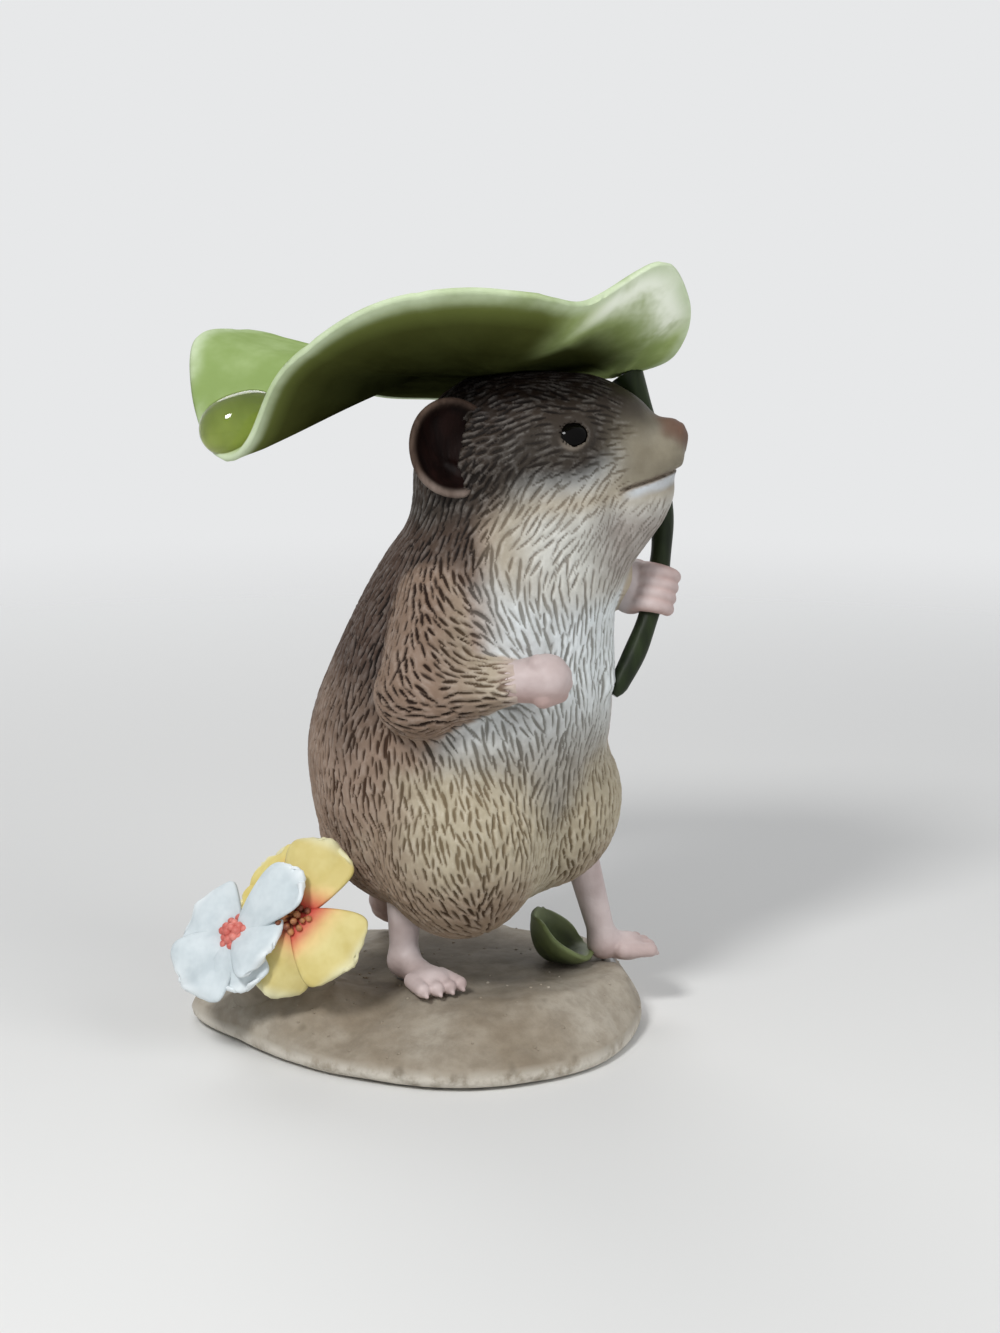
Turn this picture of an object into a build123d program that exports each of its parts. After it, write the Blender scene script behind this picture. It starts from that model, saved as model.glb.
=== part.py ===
from build123d import *
import math
import os

# Ground base and felt pad
base_length = 43.0  # along the leaf's long direction
base_width = 40.0
base_height = 5.1  # from its underside to the level top under the feet
base_edge = 1.4  # steep rim all round
pad_thickness = 1.0
pad_stand = 0.2  # how far the felt stands below the base
pad_inset = 2.5

# Where the mouse stands, and how it is turned; it faces -Y
body_x = 3.7
body_y = -2.3
stance_height = 5.5  # ground to the underside of the body
figure_turn = -45.0  # long direction of the base and leaf, from +X
head_turn = 40.0  # head, turned to the mouse's left

# Torso and haunches
torso_height = 42.2
torso_width = 28.0
torso_depth = 28.0
torso_lean = 7.2  # how far the neck leads the hips
groove_step = 4.1  # main hair grooves, apart from each other
groove_length = 2.8
groove_width = 0.5
groove_depth = 0.4
haunch_width = 15.4
haunch_height = 18.6

# Head
head_length = 24.5
head_width = 17.6
head_height = 17.6
ear_width = 7.4
ear_thickness = 0.9
ear_depth = 1.5
eye_width = 3.2

# Limbs
arm_thickness = 8.0
paw_thickness = 4.8
finger_thickness = 1.3
shin_thickness = 3.6
foot_thickness = 2.6
toe_thickness = 1.4
toe_length = 2.6
tail_thickness = 3.0
tail_length = 13.0  # its reach to the left

# Leaf, its stem and the drop
leaf_length = 44.0
leaf_width = 33.0
leaf_thickness = 1.2
leaf_rise = 7.4  # from the crown up to the turned-up rim
stem_thickness = 1.9
stem_bow = 4.0
stem_drop = 29.0  # from the leaf down to the stem's lower end
drop_width = 5.6

# Flowers and the curled leaf on the ground
white_width = 12.0
yellow_width = 14.0
back_width = 11.0
petal_thickness = 1.1
stalk_thickness = 2.2
stalk_floor = 0.25  # ground left under a stalk
bead_thickness = 1.3  # of the clusters in the flowers' middles
curl_length = 6.8
curl_width = 5.6
curl_thickness = 0.9

# Pins inside
pin_thickness = 1.2
pin_sink = 3.2  # depth of a leg pin in the base and in the body
dowel_thickness = 3.0
dowel_length = 9.0
wire_thickness = 0.7
overrun = 1.0  # extra length of every cut

# Outline of the base, as shares of half its length and half its width
base_outline_shares = [
    (1.0, 0.04),
    (0.74, 0.68),
    (0.02, 0.97),
    (-0.66, 0.76),
    (-1.0, 0.07),
    (-0.74, -0.42),
    (-0.30, -0.83),
    (0.27, -1.0),
    (0.80, -0.68),
]
base_top_share = 0.62  # level top, against the underside
base_top_shift_shares = (0.26, 0.07)

# Torso, bottom to top: height, lean and girth
torso_shares = [
    (0.0, 0.0, 0.36),
    (0.055, 0.0, 0.69),
    (0.182, 0.0, 0.925),
    (0.384, 0.0, 1.0),
    (0.573, 0.22, 0.925),
    (0.739, 0.56, 0.81),
    (0.881, 0.84, 0.64),
    (1.0, 1.0, 0.45),
]
coat_low_share = 0.14  # lowest row of hair grooves
coat_high_share = 0.78
neck_share = 0.85  # neck joint, against the torso's height
neck_tilt = 22.0  # the joint falls towards the throat
haunch_spread = 45.0  # of each haunch from straight ahead
haunch_reach_share = 0.535  # from the torso's axis, in half torso widths
haunch_rise_share = 0.47  # middle of the haunch, against its own height

# Head, nape to nose: along, half width, half height, rise
head_shares = [
    (0.0, 0.30, 0.28, -0.03),
    (0.10, 0.78, 0.78, -0.02),
    (0.33, 1.0, 1.0, 0.0),
    (0.53, 0.93, 0.93, -0.01),
    (0.69, 0.69, 0.72, 0.02),
    (0.86, 0.46, 0.50, 0.0),
    (0.96, 0.30, 0.32, 0.01),
    (1.0, 0.13, 0.14, 0.02),
]
# Throat, chest to chin: along the head, rise, girth
throat_shares = [
    (0.48, -0.45, 0.79),
    (0.815, -0.17, 0.41),
]
# Cheeks, lip pads, nose and chin: along the head, side in half widths, rise, girth
face_shares = [
    (0.58, -0.594, -0.20, 0.343),
    (0.58, 0.594, -0.20, 0.343),
    (0.914, -0.154, 0.08, 0.211),
    (0.914, 0.154, 0.08, 0.211),
    (0.939, 0, 0.167, 0.183),
    (0.869, 0, -0.115, 0.24),
]
head_pivot_share = 0.36  # point of the head's length over the neck
head_place_shares = (0.79, 0.08)  # pivot: lean ahead, half torso width to the left
eye_shares = (0.585, 0.50)  # along the head, height up its flank
eye_sink_share = 0.3
ear_shares = (0.135, 0.34)
ear_stand_share = 0.05  # of the ear's width, out from the head
ear_swing = 20.0  # each ear is turned forward

# Right arm: ahead and left in half torso widths, height in torso heights, girth
shoulder_shares = (0.46, -0.58, 0.735, 1.0)
elbow_shares = (0.52, -0.86, 0.555, 0.94)
wrist_shares = (1.0, -0.53, 0.588, 0.58)
paw_tip_shares = (1.19, -0.33, 0.603, 0.80)
elbow_overlap_share = 0.96  # forearm girth at the elbow

# Left arm, and the height at which the fist holds the stem
left_shoulder_shares = (0.40, 0.60, 0.77, 0.90)
grip_share = 0.68  # down the stem
wrist_girth_share = 0.47
palm_shift_share = 0.52  # palm beside the stem, in paw thicknesses
finger_count = 4
finger_step_share = 0.84
finger_wrap = 230.0

# Feet: ahead and left in half torso widths
right_knee_shares = (0.0, -0.52)
right_ankle_shares = (-0.02, -0.51)
right_toe_shares = (0.36, -0.60)
left_knee_shares = (0.58, 0.64)
left_ankle_shares = (0.65, 0.73)
left_toe_shares = (0.73, 0.90)
knee_share = 1.45  # top of the shin above the ground, in stance heights
ankle_share = 0.36
shin_taper_share = 0.72
toe_taper_share = 0.8
toe_step_share = 0.78
toe_count = 4
toe_fan = 7.0

# Tail: to the left and back in tail lengths, height in stance heights, girth
tail_shares = [
    (0.0, -0.12, 1.62, 1.0),
    (0.02, 0.10, 1.18, 0.96),
    (0.08, 0.26, 0.70, 0.90),
    (0.22, 0.38, 0.33, 0.82),
    (0.42, 0.41, 0.16, 0.72),
    (0.64, 0.33, 0.12, 0.60),
    (0.84, 0.17, 0.11, 0.46),
    (1.0, -0.02, 0.09, 0.34),
]
tail_root_share = 0.62  # behind the torso's axis

# Leaf, round its middle: bearing from the long direction to the near side in degrees, reach,
# height of the rim in leaf rises, how late the rim turns
leaf_shares = [
    (0.0, 1.000, 0.42, 2.60),
    (18.4, 1.050, 0.91, 2.60),
    (34.2, 1.087, 1.34, 2.50),
    (57.8, 1.042, 0.86, 2.50),
    (70.7, 1.129, 0.99, 2.60),
    (84.0, 1.056, 1.07, 2.60),
    (101.4, 1.045, 0.89, 2.60),
    (117.7, 1.009, 0.45, 2.30),
    (131.8, 0.967, -0.05, 1.60),
    (144.7, 0.935, -0.80, 1.15),
    (156.6, 0.923, -1.01, 1.10),
    (169.4, 0.962, -0.89, 1.10),
    (182.7, 1.028, -0.32, 1.50),
    (195.8, 1.081, 0.26, 2.40),
    (211.9, 1.043, 0.36, 3.00),
    (228.2, 0.982, 0.18, 2.60),
    (246.6, 1.001, -0.39, 1.50),
    (266.2, 1.059, -0.55, 1.40),
    (285.3, 1.063, -0.50, 1.40),
    (311.8, 1.045, -0.18, 1.60),
    (332.9, 0.882, -0.12, 2.00),
    (346.8, 0.966, 0.09, 2.40),
    (360.0, 1.000, 0.42, 2.60),
]
leaf_station_shares = [-1.0, -0.9, -0.74, -0.54, -0.28, 0.02, 0.32, 0.58, 0.78, 0.9, 0.97]
leaf_rib_shares = [0, 0.4, 0.7, 0.88, 1]  # points of a cut, middle to rim
full_turn = 360.0
edge_halvings = 30
leaf_slope_share = 0.02  # step over which the leaf's slope is taken
leaf_seat_share = 0.08  # middle of the leaf above the crown, in its thickness
leaf_place_shares = (0.0, -0.15)  # leaf middle: ahead and left in half torso widths
stem_top_shares = (0.76, 0.36)  # along and across the leaf
stem_foot_shares = (-0.04, -0.30)  # lower end, seen from the upper one
stem_middle_share = 0.42
drop_shares = (-0.84, -0.10)
drop_sink_share = 0.10

# Flowers: along and across the base, height of the middle in its own widths, tip and turn
white_shares = (-0.74, -0.36)
yellow_shares = (-0.48, -0.55)
back_shares = (-0.62, 0.04)
white_height_share = 0.66
yellow_height_share = 0.82
back_height_share = 0.86
white_tip = 52.0  # from facing straight up
yellow_tip = 66.0
back_tip = 48.0
white_facing = 206.0  # compass of the face, from +X
yellow_facing = 232.0
back_facing = 160.0
petal_count = 5
petal_place_share = 0.29
petal_round_share = 0.21
heart_share = 0.20
bowl_share = 0.13
bowl_reach_share = 0.58  # bowl before it is cut to petals
bead_count = 6
bead_place_share = 0.085

# Curled leaf, ahead and left of the body in half torso widths
curl_place_shares = (0.42, 0.44)
curl_bend_share = 0.34
curl_lean = 24.0

ground_z = pad_stand + base_height
torso_bottom = ground_z + stance_height
half_girth = torso_width / 2
turn = math.radians(figure_turn)
along_dir = Vector(math.cos(turn), math.sin(turn), 0)
across_dir = Vector(-math.sin(turn), math.cos(turn), 0)
up_dir = Vector(0, 0, 1)
upright_share = 0.9  # steeper than this counts as upright


def body_point(ahead, left, height):
    return Vector(body_x + left, body_y - ahead, height)


def arm_point(shares):
    ahead, left, height, girth = shares
    return body_point(ahead * half_girth, left * half_girth, torso_bottom + height * torso_height)


def arm_radius(shares):
    return shares[3] * arm_thickness / 2


def ground_point(shares, height):
    return body_point(shares[0] * half_girth, shares[1] * half_girth, height)


def base_point(shares, height):
    place = along_dir * (shares[0] * base_length / 2) + across_dir * (shares[1] * base_width / 2)
    return place + up_dir * height


def table_at(table, where):
    for low, high in zip(table, table[1:]):
        if low[0] <= where <= high[0]:
            mix = (where - low[0]) / (high[0] - low[0])
            return [a + (b - a) * mix for a, b in zip(low, high)]
    return list(table[-1])


def compass(angle, tip):
    level = math.sin(math.radians(tip))
    return Vector(
        level * math.cos(math.radians(angle)),
        level * math.sin(math.radians(angle)),
        math.cos(math.radians(tip)),
    )


def sideways_to(direction):
    upright = abs(direction.normalized().Z) > upright_share
    return direction.cross(along_dir if upright else up_dir).normalized()


def add_capsule(start, end, start_radius, end_radius, mode=Mode.ADD):
    # A round-ended tapered rod between two points
    run = end - start
    length = run.length
    slant = (start_radius - end_radius) / length
    rise = math.sqrt(1 - slant * slant)
    start_touch = (start_radius * slant, start_radius * rise)
    end_touch = (length + end_radius * slant, end_radius * rise)
    start_half = math.sqrt((1 - slant) / 2)
    end_half = math.sqrt((1 + slant) / 2)
    start_mid = (-start_radius * start_half, start_radius * math.sqrt(1 - start_half**2))
    end_mid = (length + end_radius * end_half, end_radius * math.sqrt(1 - end_half**2))
    with BuildSketch(Plane(origin=start, x_dir=run, z_dir=sideways_to(run))) as profile:
        with BuildLine():
            Line((-start_radius, 0), (length + end_radius, 0))
            ThreePointArc((length + end_radius, 0), end_mid, end_touch)
            Line(end_touch, start_touch)
            ThreePointArc(start_touch, start_mid, (-start_radius, 0))
        make_face()
    revolve(profile.sketch, axis=Axis(start, run), mode=mode)


def add_rod(start, end, radius, mode=Mode.ADD):
    # A square-ended round rod between two points
    with BuildSketch(Plane(origin=start, z_dir=end - start)) as section:
        Circle(radius)
    extrude(section.sketch, amount=(end - start).length, mode=mode)


def add_ball(centre, radius, mode=Mode.ADD, pole=up_dir):
    with Locations(Plane(origin=centre, z_dir=pole)):
        Sphere(radius, mode=mode)


# Places shared by pieces that meet
lean_top = torso_lean * head_place_shares[0]
head_pivot = body_point(lean_top, head_place_shares[1] * half_girth, torso_bottom + torso_height)
head_side = math.radians(head_turn)
head_ahead = Vector(math.sin(head_side), -math.cos(head_side), 0)
head_left = Vector(math.cos(head_side), math.sin(head_side), 0)
neck_lean = table_at(torso_shares, neck_share)[1] * torso_lean
neck_point = body_point(neck_lean, 0, torso_bottom + neck_share * torso_height)
neck_tip = math.radians(neck_tilt)
neck_up = Vector(0, -math.sin(neck_tip), math.cos(neck_tip))
neck_plane = Plane(origin=neck_point, x_dir=(1, 0, 0), z_dir=neck_up)
crown_z = head_pivot.Z + head_height / 2
leaf_middle = ground_point(leaf_place_shares, crown_z + leaf_seat_share * leaf_thickness)


def head_point(along, side, rise):
    length = (along - head_pivot_share) * head_length
    return head_pivot + head_ahead * length + head_left * side + up_dir * rise


def head_flank(along, climb, sign):
    # Point on the head's flank, and the way out of it
    row = table_at(head_shares, along)
    half_width = row[1] * head_width / 2
    half_height = row[2] * head_height / 2
    side = sign * half_width * math.sqrt(1 - climb * climb)
    place = head_point(along, side, row[3] * head_height + climb * half_height)
    out = head_left * (sign * math.sqrt(1 - climb * climb)) + up_dir * climb
    return place, out


def leaf_part(along, across):
    # Share of the way out to the rim, and the table row of that direction
    row = table_at(leaf_shares, math.degrees(math.atan2(-across, along)) % full_turn)
    return math.hypot(along, across) / row[1], row


def leaf_height(along, across):
    part, row = leaf_part(along, across)
    return row[2] * min(part, 1) ** row[3] * leaf_rise


def leaf_edge(along, side):
    # Where a straight cut across the leaf meets its rim
    inner, outer = 0, 2
    for halving in range(edge_halvings):
        middle = (inner + outer) / 2
        if leaf_part(along, side * middle)[0] < 1:
            inner = middle
        else:
            outer = middle
    return side * inner


def leaf_point(along, across):
    place = leaf_middle + along_dir * (along * leaf_length / 2)
    return place + across_dir * (across * leaf_width / 2) + up_dir * leaf_height(along, across)


def leaf_out(along, across):
    # Way out of the leaf's upper face
    step = leaf_slope_share
    ahead_run = leaf_point(along + step, across) - leaf_point(along - step, across)
    side_run = leaf_point(along, across + step) - leaf_point(along, across - step)
    return ahead_run.cross(side_run).normalized()


stem_top = leaf_point(*stem_top_shares)
stem_foot = (
    stem_top
    - up_dir * stem_drop
    + along_dir * (stem_foot_shares[0] * stem_drop)
    + across_dir * (stem_foot_shares[1] * stem_drop)
)
stem_middle = stem_top + (stem_foot - stem_top) * stem_middle_share + along_dir * stem_bow
stem_path = ThreePointArc(stem_top, stem_middle, stem_foot)
grip_point = stem_path @ grip_share
grip_dir = stem_path % grip_share

ankle_z = ground_z + ankle_share * stance_height
knee_z = ground_z + knee_share * stance_height
right_leg = (ground_point(right_ankle_shares, ankle_z), ground_point(right_knee_shares, knee_z))
left_leg = (ground_point(left_ankle_shares, ankle_z), ground_point(left_knee_shares, knee_z))


def pin_ends(leg):
    ankle, knee = leg
    rise = (knee - ankle) * (1 / (knee.Z - ankle.Z))
    foot = ankle - rise * (ankle.Z - ground_z + pin_sink)
    return foot, ankle + rise * (torso_bottom - ankle.Z + pin_sink)


pins = [pin_ends(leg) for leg in (right_leg, left_leg)]
dowel_ends = (neck_point - neck_up * (dowel_length / 2), neck_point + neck_up * (dowel_length / 2))

flowers = {
    "white": (white_shares, white_width, white_height_share, white_facing, white_tip),
    "yellow": (yellow_shares, yellow_width, yellow_height_share, yellow_facing, yellow_tip),
    "back": (back_shares, back_width, back_height_share, back_facing, back_tip),
}


def flower_plane(name):
    shares, width, height_share, facing, tip = flowers[name]
    middle = base_point(shares, pad_stand + base_edge + height_share * width)
    out = compass(facing, tip)
    return Plane(origin=middle, x_dir=sideways_to(out), z_dir=out)


def stalk_ends(name):
    shares, width, height_share, facing, tip = flowers[name]
    plane = flower_plane(name)
    foot = base_point(shares, pad_thickness + stalk_floor)
    start = plane.origin + plane.z_dir * (petal_thickness / 2)
    return start, foot


def add_stalk(name, mode=Mode.ADD):
    start, foot = stalk_ends(name)
    add_rod(foot, start, stalk_thickness / 2, mode=mode)


def base_outline(scale, shift, height):
    plane = Plane(origin=base_point(shift, height), x_dir=along_dir, z_dir=up_dir)
    points = [
        (along * scale * base_length / 2, across * scale * base_width / 2)
        for along, across in base_outline_shares
    ]
    with BuildSketch(plane) as outline:
        with BuildLine():
            Spline(*points, periodic=True)
        make_face()
    return outline.sketch


def add_body():
    # Pear-shaped body with its neck and throat
    sections = []
    for height, lean, girth in torso_shares:
        middle = body_point(lean * torso_lean, 0, torso_bottom + height * torso_height)
        with BuildSketch(Plane(origin=middle, x_dir=(0, 1, 0), z_dir=up_dir)) as section:
            Ellipse(girth * torso_depth / 2, girth * torso_width / 2)
        sections.append(section.sketch)
    loft(sections)
    low, high = [head_point(along, 0, rise * head_height) for along, rise, girth in throat_shares]
    low_radius, high_radius = [girth * head_width / 2 for along, rise, girth in throat_shares]
    add_capsule(low, high, low_radius, high_radius)


def cut_pins():
    for start, end in pins:
        add_rod(start, end, pin_thickness / 2, mode=Mode.SUBTRACT)


# Torso, up to the neck joint
with BuildPart() as torso:
    add_body()
    split(bisect_by=neck_plane, keep=Keep.BOTTOM)
    cut_pins()
    add_rod(*dowel_ends, dowel_thickness / 2, mode=Mode.SUBTRACT)

# Head, with the top of the neck
with BuildPart() as head:
    for along, width, height, rise in head_shares:
        middle = head_point(along, 0, rise * head_height)
        with BuildSketch(Plane(origin=middle, x_dir=-up_dir, z_dir=head_ahead)):
            Ellipse(height * head_height / 2, width * head_width / 2)
    loft()
    for sign in (-1, 1):
        place, out = head_flank(*eye_shares, sign)
        add_ball(place - out * (eye_sink_share * eye_width), eye_width / 2, Mode.SUBTRACT, out)
    for along, side, rise, girth in face_shares:
        middle = head_point(along, side * head_width / 2, rise * head_height)
        add_ball(middle, girth * head_width / 2)
    add_body()
    split(bisect_by=neck_plane, keep=Keep.TOP)
    add_rod(*dowel_ends, dowel_thickness / 2, mode=Mode.SUBTRACT)

with BuildPart() as neck_dowel:
    add_rod(*dowel_ends, dowel_thickness / 2)


def make_eye(sign):
    place, out = head_flank(*eye_shares, sign)
    with BuildPart() as eye:
        add_ball(place - out * (eye_sink_share * eye_width), eye_width / 2, pole=out)
    return eye.part


def make_ear(sign):
    # A cupped round flap, hollow side out
    place, out = head_flank(*ear_shares, sign)
    swing = math.radians(ear_swing)
    face = out * math.cos(swing) + head_ahead * math.sin(swing)
    side = face.cross(up_dir).normalized()
    place = place + out * (ear_stand_share * ear_width)
    radius = ear_width / 2
    inner_depth = ear_depth + ear_thickness
    with BuildPart() as ear:
        with BuildSketch(Plane(origin=place, x_dir=side, z_dir=face.cross(side))):
            with BuildLine():
                hollow = ThreePointArc((-radius, 0), (0, ear_depth), (radius, 0))
                back = ThreePointArc((-radius, ear_thickness), (0, inner_depth), (radius, ear_thickness))
                Line(hollow @ 0, back @ 0)
                Line(hollow @ 1, back @ 1)
            make_face()
            split(bisect_by=Plane.YZ)
        revolve(axis=Axis(place, face))
        add(head.part, mode=Mode.SUBTRACT)
    return ear.part


def make_haunch(sign):
    # An egg of a thigh, seated against the torso
    spread = math.radians(haunch_spread)
    haunch_reach = haunch_reach_share * half_girth
    height = torso_bottom + haunch_rise_share * haunch_height
    middle = body_point(haunch_reach * math.cos(spread), sign * haunch_reach * math.sin(spread), height)
    with BuildPart() as haunch:
        with BuildSketch(Plane(origin=middle, x_dir=(1, 0, 0), z_dir=(0, -1, 0))):
            Ellipse(haunch_width / 2, haunch_height / 2)
            split(bisect_by=Plane.YZ)
        revolve(axis=Axis(middle, up_dir))
        add(torso.part, mode=Mode.SUBTRACT)
        cut_pins()
    return haunch.part


right_eye = make_eye(-1)
left_eye = make_eye(1)
right_ear = make_ear(-1)
left_ear = make_ear(1)
right_haunch = make_haunch(-1)
left_haunch = make_haunch(1)

# Right arm, bent across the belly
with BuildPart() as right_arm:
    elbow_end = arm_radius(elbow_shares)
    add_capsule(arm_point(shoulder_shares), arm_point(elbow_shares), arm_radius(shoulder_shares), elbow_end)
    add_capsule(
        arm_point(elbow_shares),
        arm_point(wrist_shares),
        elbow_end * elbow_overlap_share,
        arm_radius(wrist_shares),
    )
    for neighbour in (torso.part, head.part, right_haunch):
        add(neighbour, mode=Mode.SUBTRACT)

with BuildPart() as right_paw:
    paw_radius = paw_thickness / 2
    add_capsule(
        arm_point(wrist_shares), arm_point(paw_tip_shares), paw_radius, paw_radius * paw_tip_shares[3]
    )
    for neighbour in (torso.part, right_arm.part):
        add(neighbour, mode=Mode.SUBTRACT)

# Stem, with its wire core
with BuildPart() as leaf_stem:
    with BuildSketch(Plane(origin=stem_path @ 0, z_dir=stem_path % 0)):
        Circle(stem_thickness / 2)
        Circle(wire_thickness / 2, mode=Mode.SUBTRACT)
    sweep(path=stem_path)
    add(torso.part, mode=Mode.SUBTRACT)

with BuildPart() as stem_wire:
    with BuildSketch(Plane(origin=stem_path @ 0, z_dir=stem_path % 0)):
        Circle(wire_thickness / 2)
    sweep(path=stem_path)

# Left fist, closed round the stem
grip_out = (grip_point - arm_point(left_shoulder_shares)).cross(grip_dir).cross(grip_dir)
grip_in = grip_out.normalized()
palm_middle = grip_point + grip_in * (palm_shift_share * paw_thickness)
with BuildPart() as left_paw:
    finger_step = finger_thickness * finger_step_share
    palm_half = finger_step * (finger_count - 1) / 2
    add_capsule(
        palm_middle - grip_dir * palm_half,
        palm_middle + grip_dir * palm_half,
        paw_thickness / 2,
        paw_thickness / 2,
    )
    for number in range(finger_count):
        middle = grip_point + grip_dir * (number * finger_step - palm_half)
        with BuildSketch(Plane(origin=middle, x_dir=grip_in, z_dir=grip_in.cross(grip_dir))):
            with Locations(((stem_thickness + finger_thickness) / 2, 0)):
                Circle(finger_thickness / 2)
        revolve(axis=Axis(middle, grip_dir), revolution_arc=finger_wrap)
    for neighbour in (leaf_stem.part, stem_wire.part, torso.part, head.part):
        add(neighbour, mode=Mode.SUBTRACT)

with BuildPart() as left_arm:
    add_capsule(
        arm_point(left_shoulder_shares),
        palm_middle,
        arm_radius(left_shoulder_shares),
        wrist_girth_share * arm_thickness / 2,
    )
    for neighbour in (torso.part, head.part, left_paw.part, leaf_stem.part, stem_wire.part):
        add(neighbour, mode=Mode.SUBTRACT)


def make_foot(leg, toe_shares, neighbours):
    # Shin, sole and toes in one
    ankle, knee = leg
    toe = ground_point(toe_shares, ground_z + foot_thickness / 2)
    heel = Vector(ankle.X, ankle.Y, ground_z + shin_thickness / 2)
    run = toe - heel
    heading = math.degrees(math.atan2(run.Y, run.X))
    toe_radius = toe_thickness / 2
    side = sideways_to(run)
    toe_row = Vector(toe.X, toe.Y, ground_z + toe_radius)
    with BuildPart() as foot:
        add_capsule(ankle, knee, shin_thickness / 2 * shin_taper_share, shin_thickness / 2)
        add_capsule(heel, toe, shin_thickness / 2, foot_thickness / 2)
        for number in range(toe_count):
            place = number - (toe_count - 1) / 2
            start = toe_row - side * (place * toe_step_share * toe_thickness)
            end = start + compass(heading + place * toe_fan, 90) * toe_length
            add_capsule(start, end, toe_radius, toe_radius * toe_taper_share)
        for neighbour in neighbours:
            add(neighbour, mode=Mode.SUBTRACT)
        cut_pins()
    return foot.part


# Ground, with its sockets and the recess for the felt
with BuildPart() as felt_pad:
    pad_share = 1 - 2 * pad_inset / base_length
    extrude(base_outline(pad_share, (0, 0), 0), amount=pad_thickness)

with BuildPart() as ground_base:
    underside = base_outline(1, (0, 0), pad_stand)
    rim = base_outline(1, (0, 0), pad_stand + base_edge)
    level = base_outline(base_top_share, base_top_shift_shares, ground_z)
    loft([underside, rim, level], ruled=True)
    add(felt_pad.part, mode=Mode.SUBTRACT)
    cut_pins()
    for name in flowers:
        add_stalk(name, mode=Mode.SUBTRACT)

with BuildPart() as leg_pins:
    for start, end in pins:
        add_rod(start, end, pin_thickness / 2)

right_foot = make_foot(right_leg, right_toe_shares, (torso.part, right_haunch, ground_base.part))
left_foot = make_foot(left_leg, left_toe_shares, (torso.part, left_haunch, ground_base.part))

# Tail, laid on the ground behind
tail_root = body_point(-tail_root_share * half_girth, 0, ground_z)
tail_points = [
    tail_root + Vector(left * tail_length, back * tail_length, height * stance_height)
    for left, back, height, girth in tail_shares
]
with BuildPart() as tail:
    for number, row in enumerate(tail_shares):
        ahead = tail_points[min(number + 1, len(tail_points) - 1)] - tail_points[max(number - 1, 0)]
        with BuildSketch(Plane(origin=tail_points[number], z_dir=ahead)):
            Circle(row[3] * tail_thickness / 2)
    loft()
    for neighbour in (torso.part, ground_base.part):
        add(neighbour, mode=Mode.SUBTRACT)

# Leaf, resting on the crown, with the flare that the stem runs into
with BuildPart() as leaf:
    for along in leaf_station_shares:
        origin = leaf_middle + along_dir * (along * leaf_length / 2)
        near, far = leaf_edge(along, -1), leaf_edge(along, 1)
        reaches = [near * share for share in leaf_rib_shares[:0:-1]]
        reaches += [far * share for share in leaf_rib_shares]
        points = [(reach * leaf_width / 2, leaf_height(along, reach)) for reach in reaches]
        with BuildSketch(Plane(origin=origin, x_dir=across_dir, z_dir=along_dir)):
            with BuildLine():
                top = Spline(*[(x, y + leaf_thickness / 2) for x, y in points])
                bottom = Spline(*[(x, y - leaf_thickness / 2) for x, y in points])
                Line(top @ 0, bottom @ 0)
                Line(top @ 1, bottom @ 1)
            make_face()
    loft()
    for neighbour in (head.part, leaf_stem.part, stem_wire.part):
        add(neighbour, mode=Mode.SUBTRACT)

with BuildPart() as dew_drop:
    out = leaf_out(*drop_shares)
    stand = out * (drop_width / 2 * (1 - drop_sink_share))
    add_ball(leaf_point(*drop_shares) + stand, drop_width / 2, pole=out)
    add(leaf.part, mode=Mode.SUBTRACT)


def add_bowl(plane, radius, rise, thickness):
    # Shallow round bowl that opens along the plane's normal
    with BuildSketch(Plane(origin=plane.origin, x_dir=plane.x_dir, z_dir=-plane.y_dir)) as profile:
        with BuildLine():
            low = ThreePointArc((0, 0), (radius / 2, rise / 4), (radius, rise))
            high = ThreePointArc(
                (0, thickness), (radius / 2, rise / 4 + thickness), (radius, rise + thickness)
            )
            Line(low @ 0, high @ 0)
            Line(low @ 1, high @ 1)
        make_face()
    revolve(profile.sketch, axis=Axis(plane.origin, plane.z_dir))


def make_flower(name, neighbours):
    # Shallow bowl cut to rounded petals, on a stalk
    width = flowers[name][1]
    plane = flower_plane(name)
    bowl = bowl_share * width
    with BuildPart() as flower:
        add_bowl(plane, bowl_reach_share * width, bowl, petal_thickness)
        with BuildSketch(plane) as petals:
            Circle(heart_share * width)
            with PolarLocations(petal_place_share * width, petal_count):
                Circle(petal_round_share * width)
        extrude(petals.sketch, amount=bowl + petal_thickness + overrun, both=True, mode=Mode.INTERSECT)
        add_stalk(name)
        for neighbour in neighbours:
            add(neighbour, mode=Mode.SUBTRACT)
    return flower.part


def make_centre(name, flower):
    # Cluster of beads in a flower's middle
    plane = flower_plane(name)
    radius = bead_thickness / 2
    middle = plane.origin + plane.z_dir * petal_thickness
    with BuildPart() as centre:
        add_ball(middle, radius)
        for number in range(bead_count):
            angle = math.radians(number * 360 / bead_count)
            step = plane.x_dir * math.cos(angle) + plane.y_dir * math.sin(angle)
            add_ball(middle + step * (bead_place_share * flowers[name][1]), radius)
        add(flower, mode=Mode.SUBTRACT)
    return centre.part


yellow_flower = make_flower("yellow", (torso.part, right_haunch))
white_flower = make_flower("white", (yellow_flower,))
back_flower = make_flower("back", (torso.part, yellow_flower, white_flower))
white_flower_centre = make_centre("white", white_flower)
yellow_flower_centre = make_centre("yellow", yellow_flower)
back_flower_centre = make_centre("back", back_flower)

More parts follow.
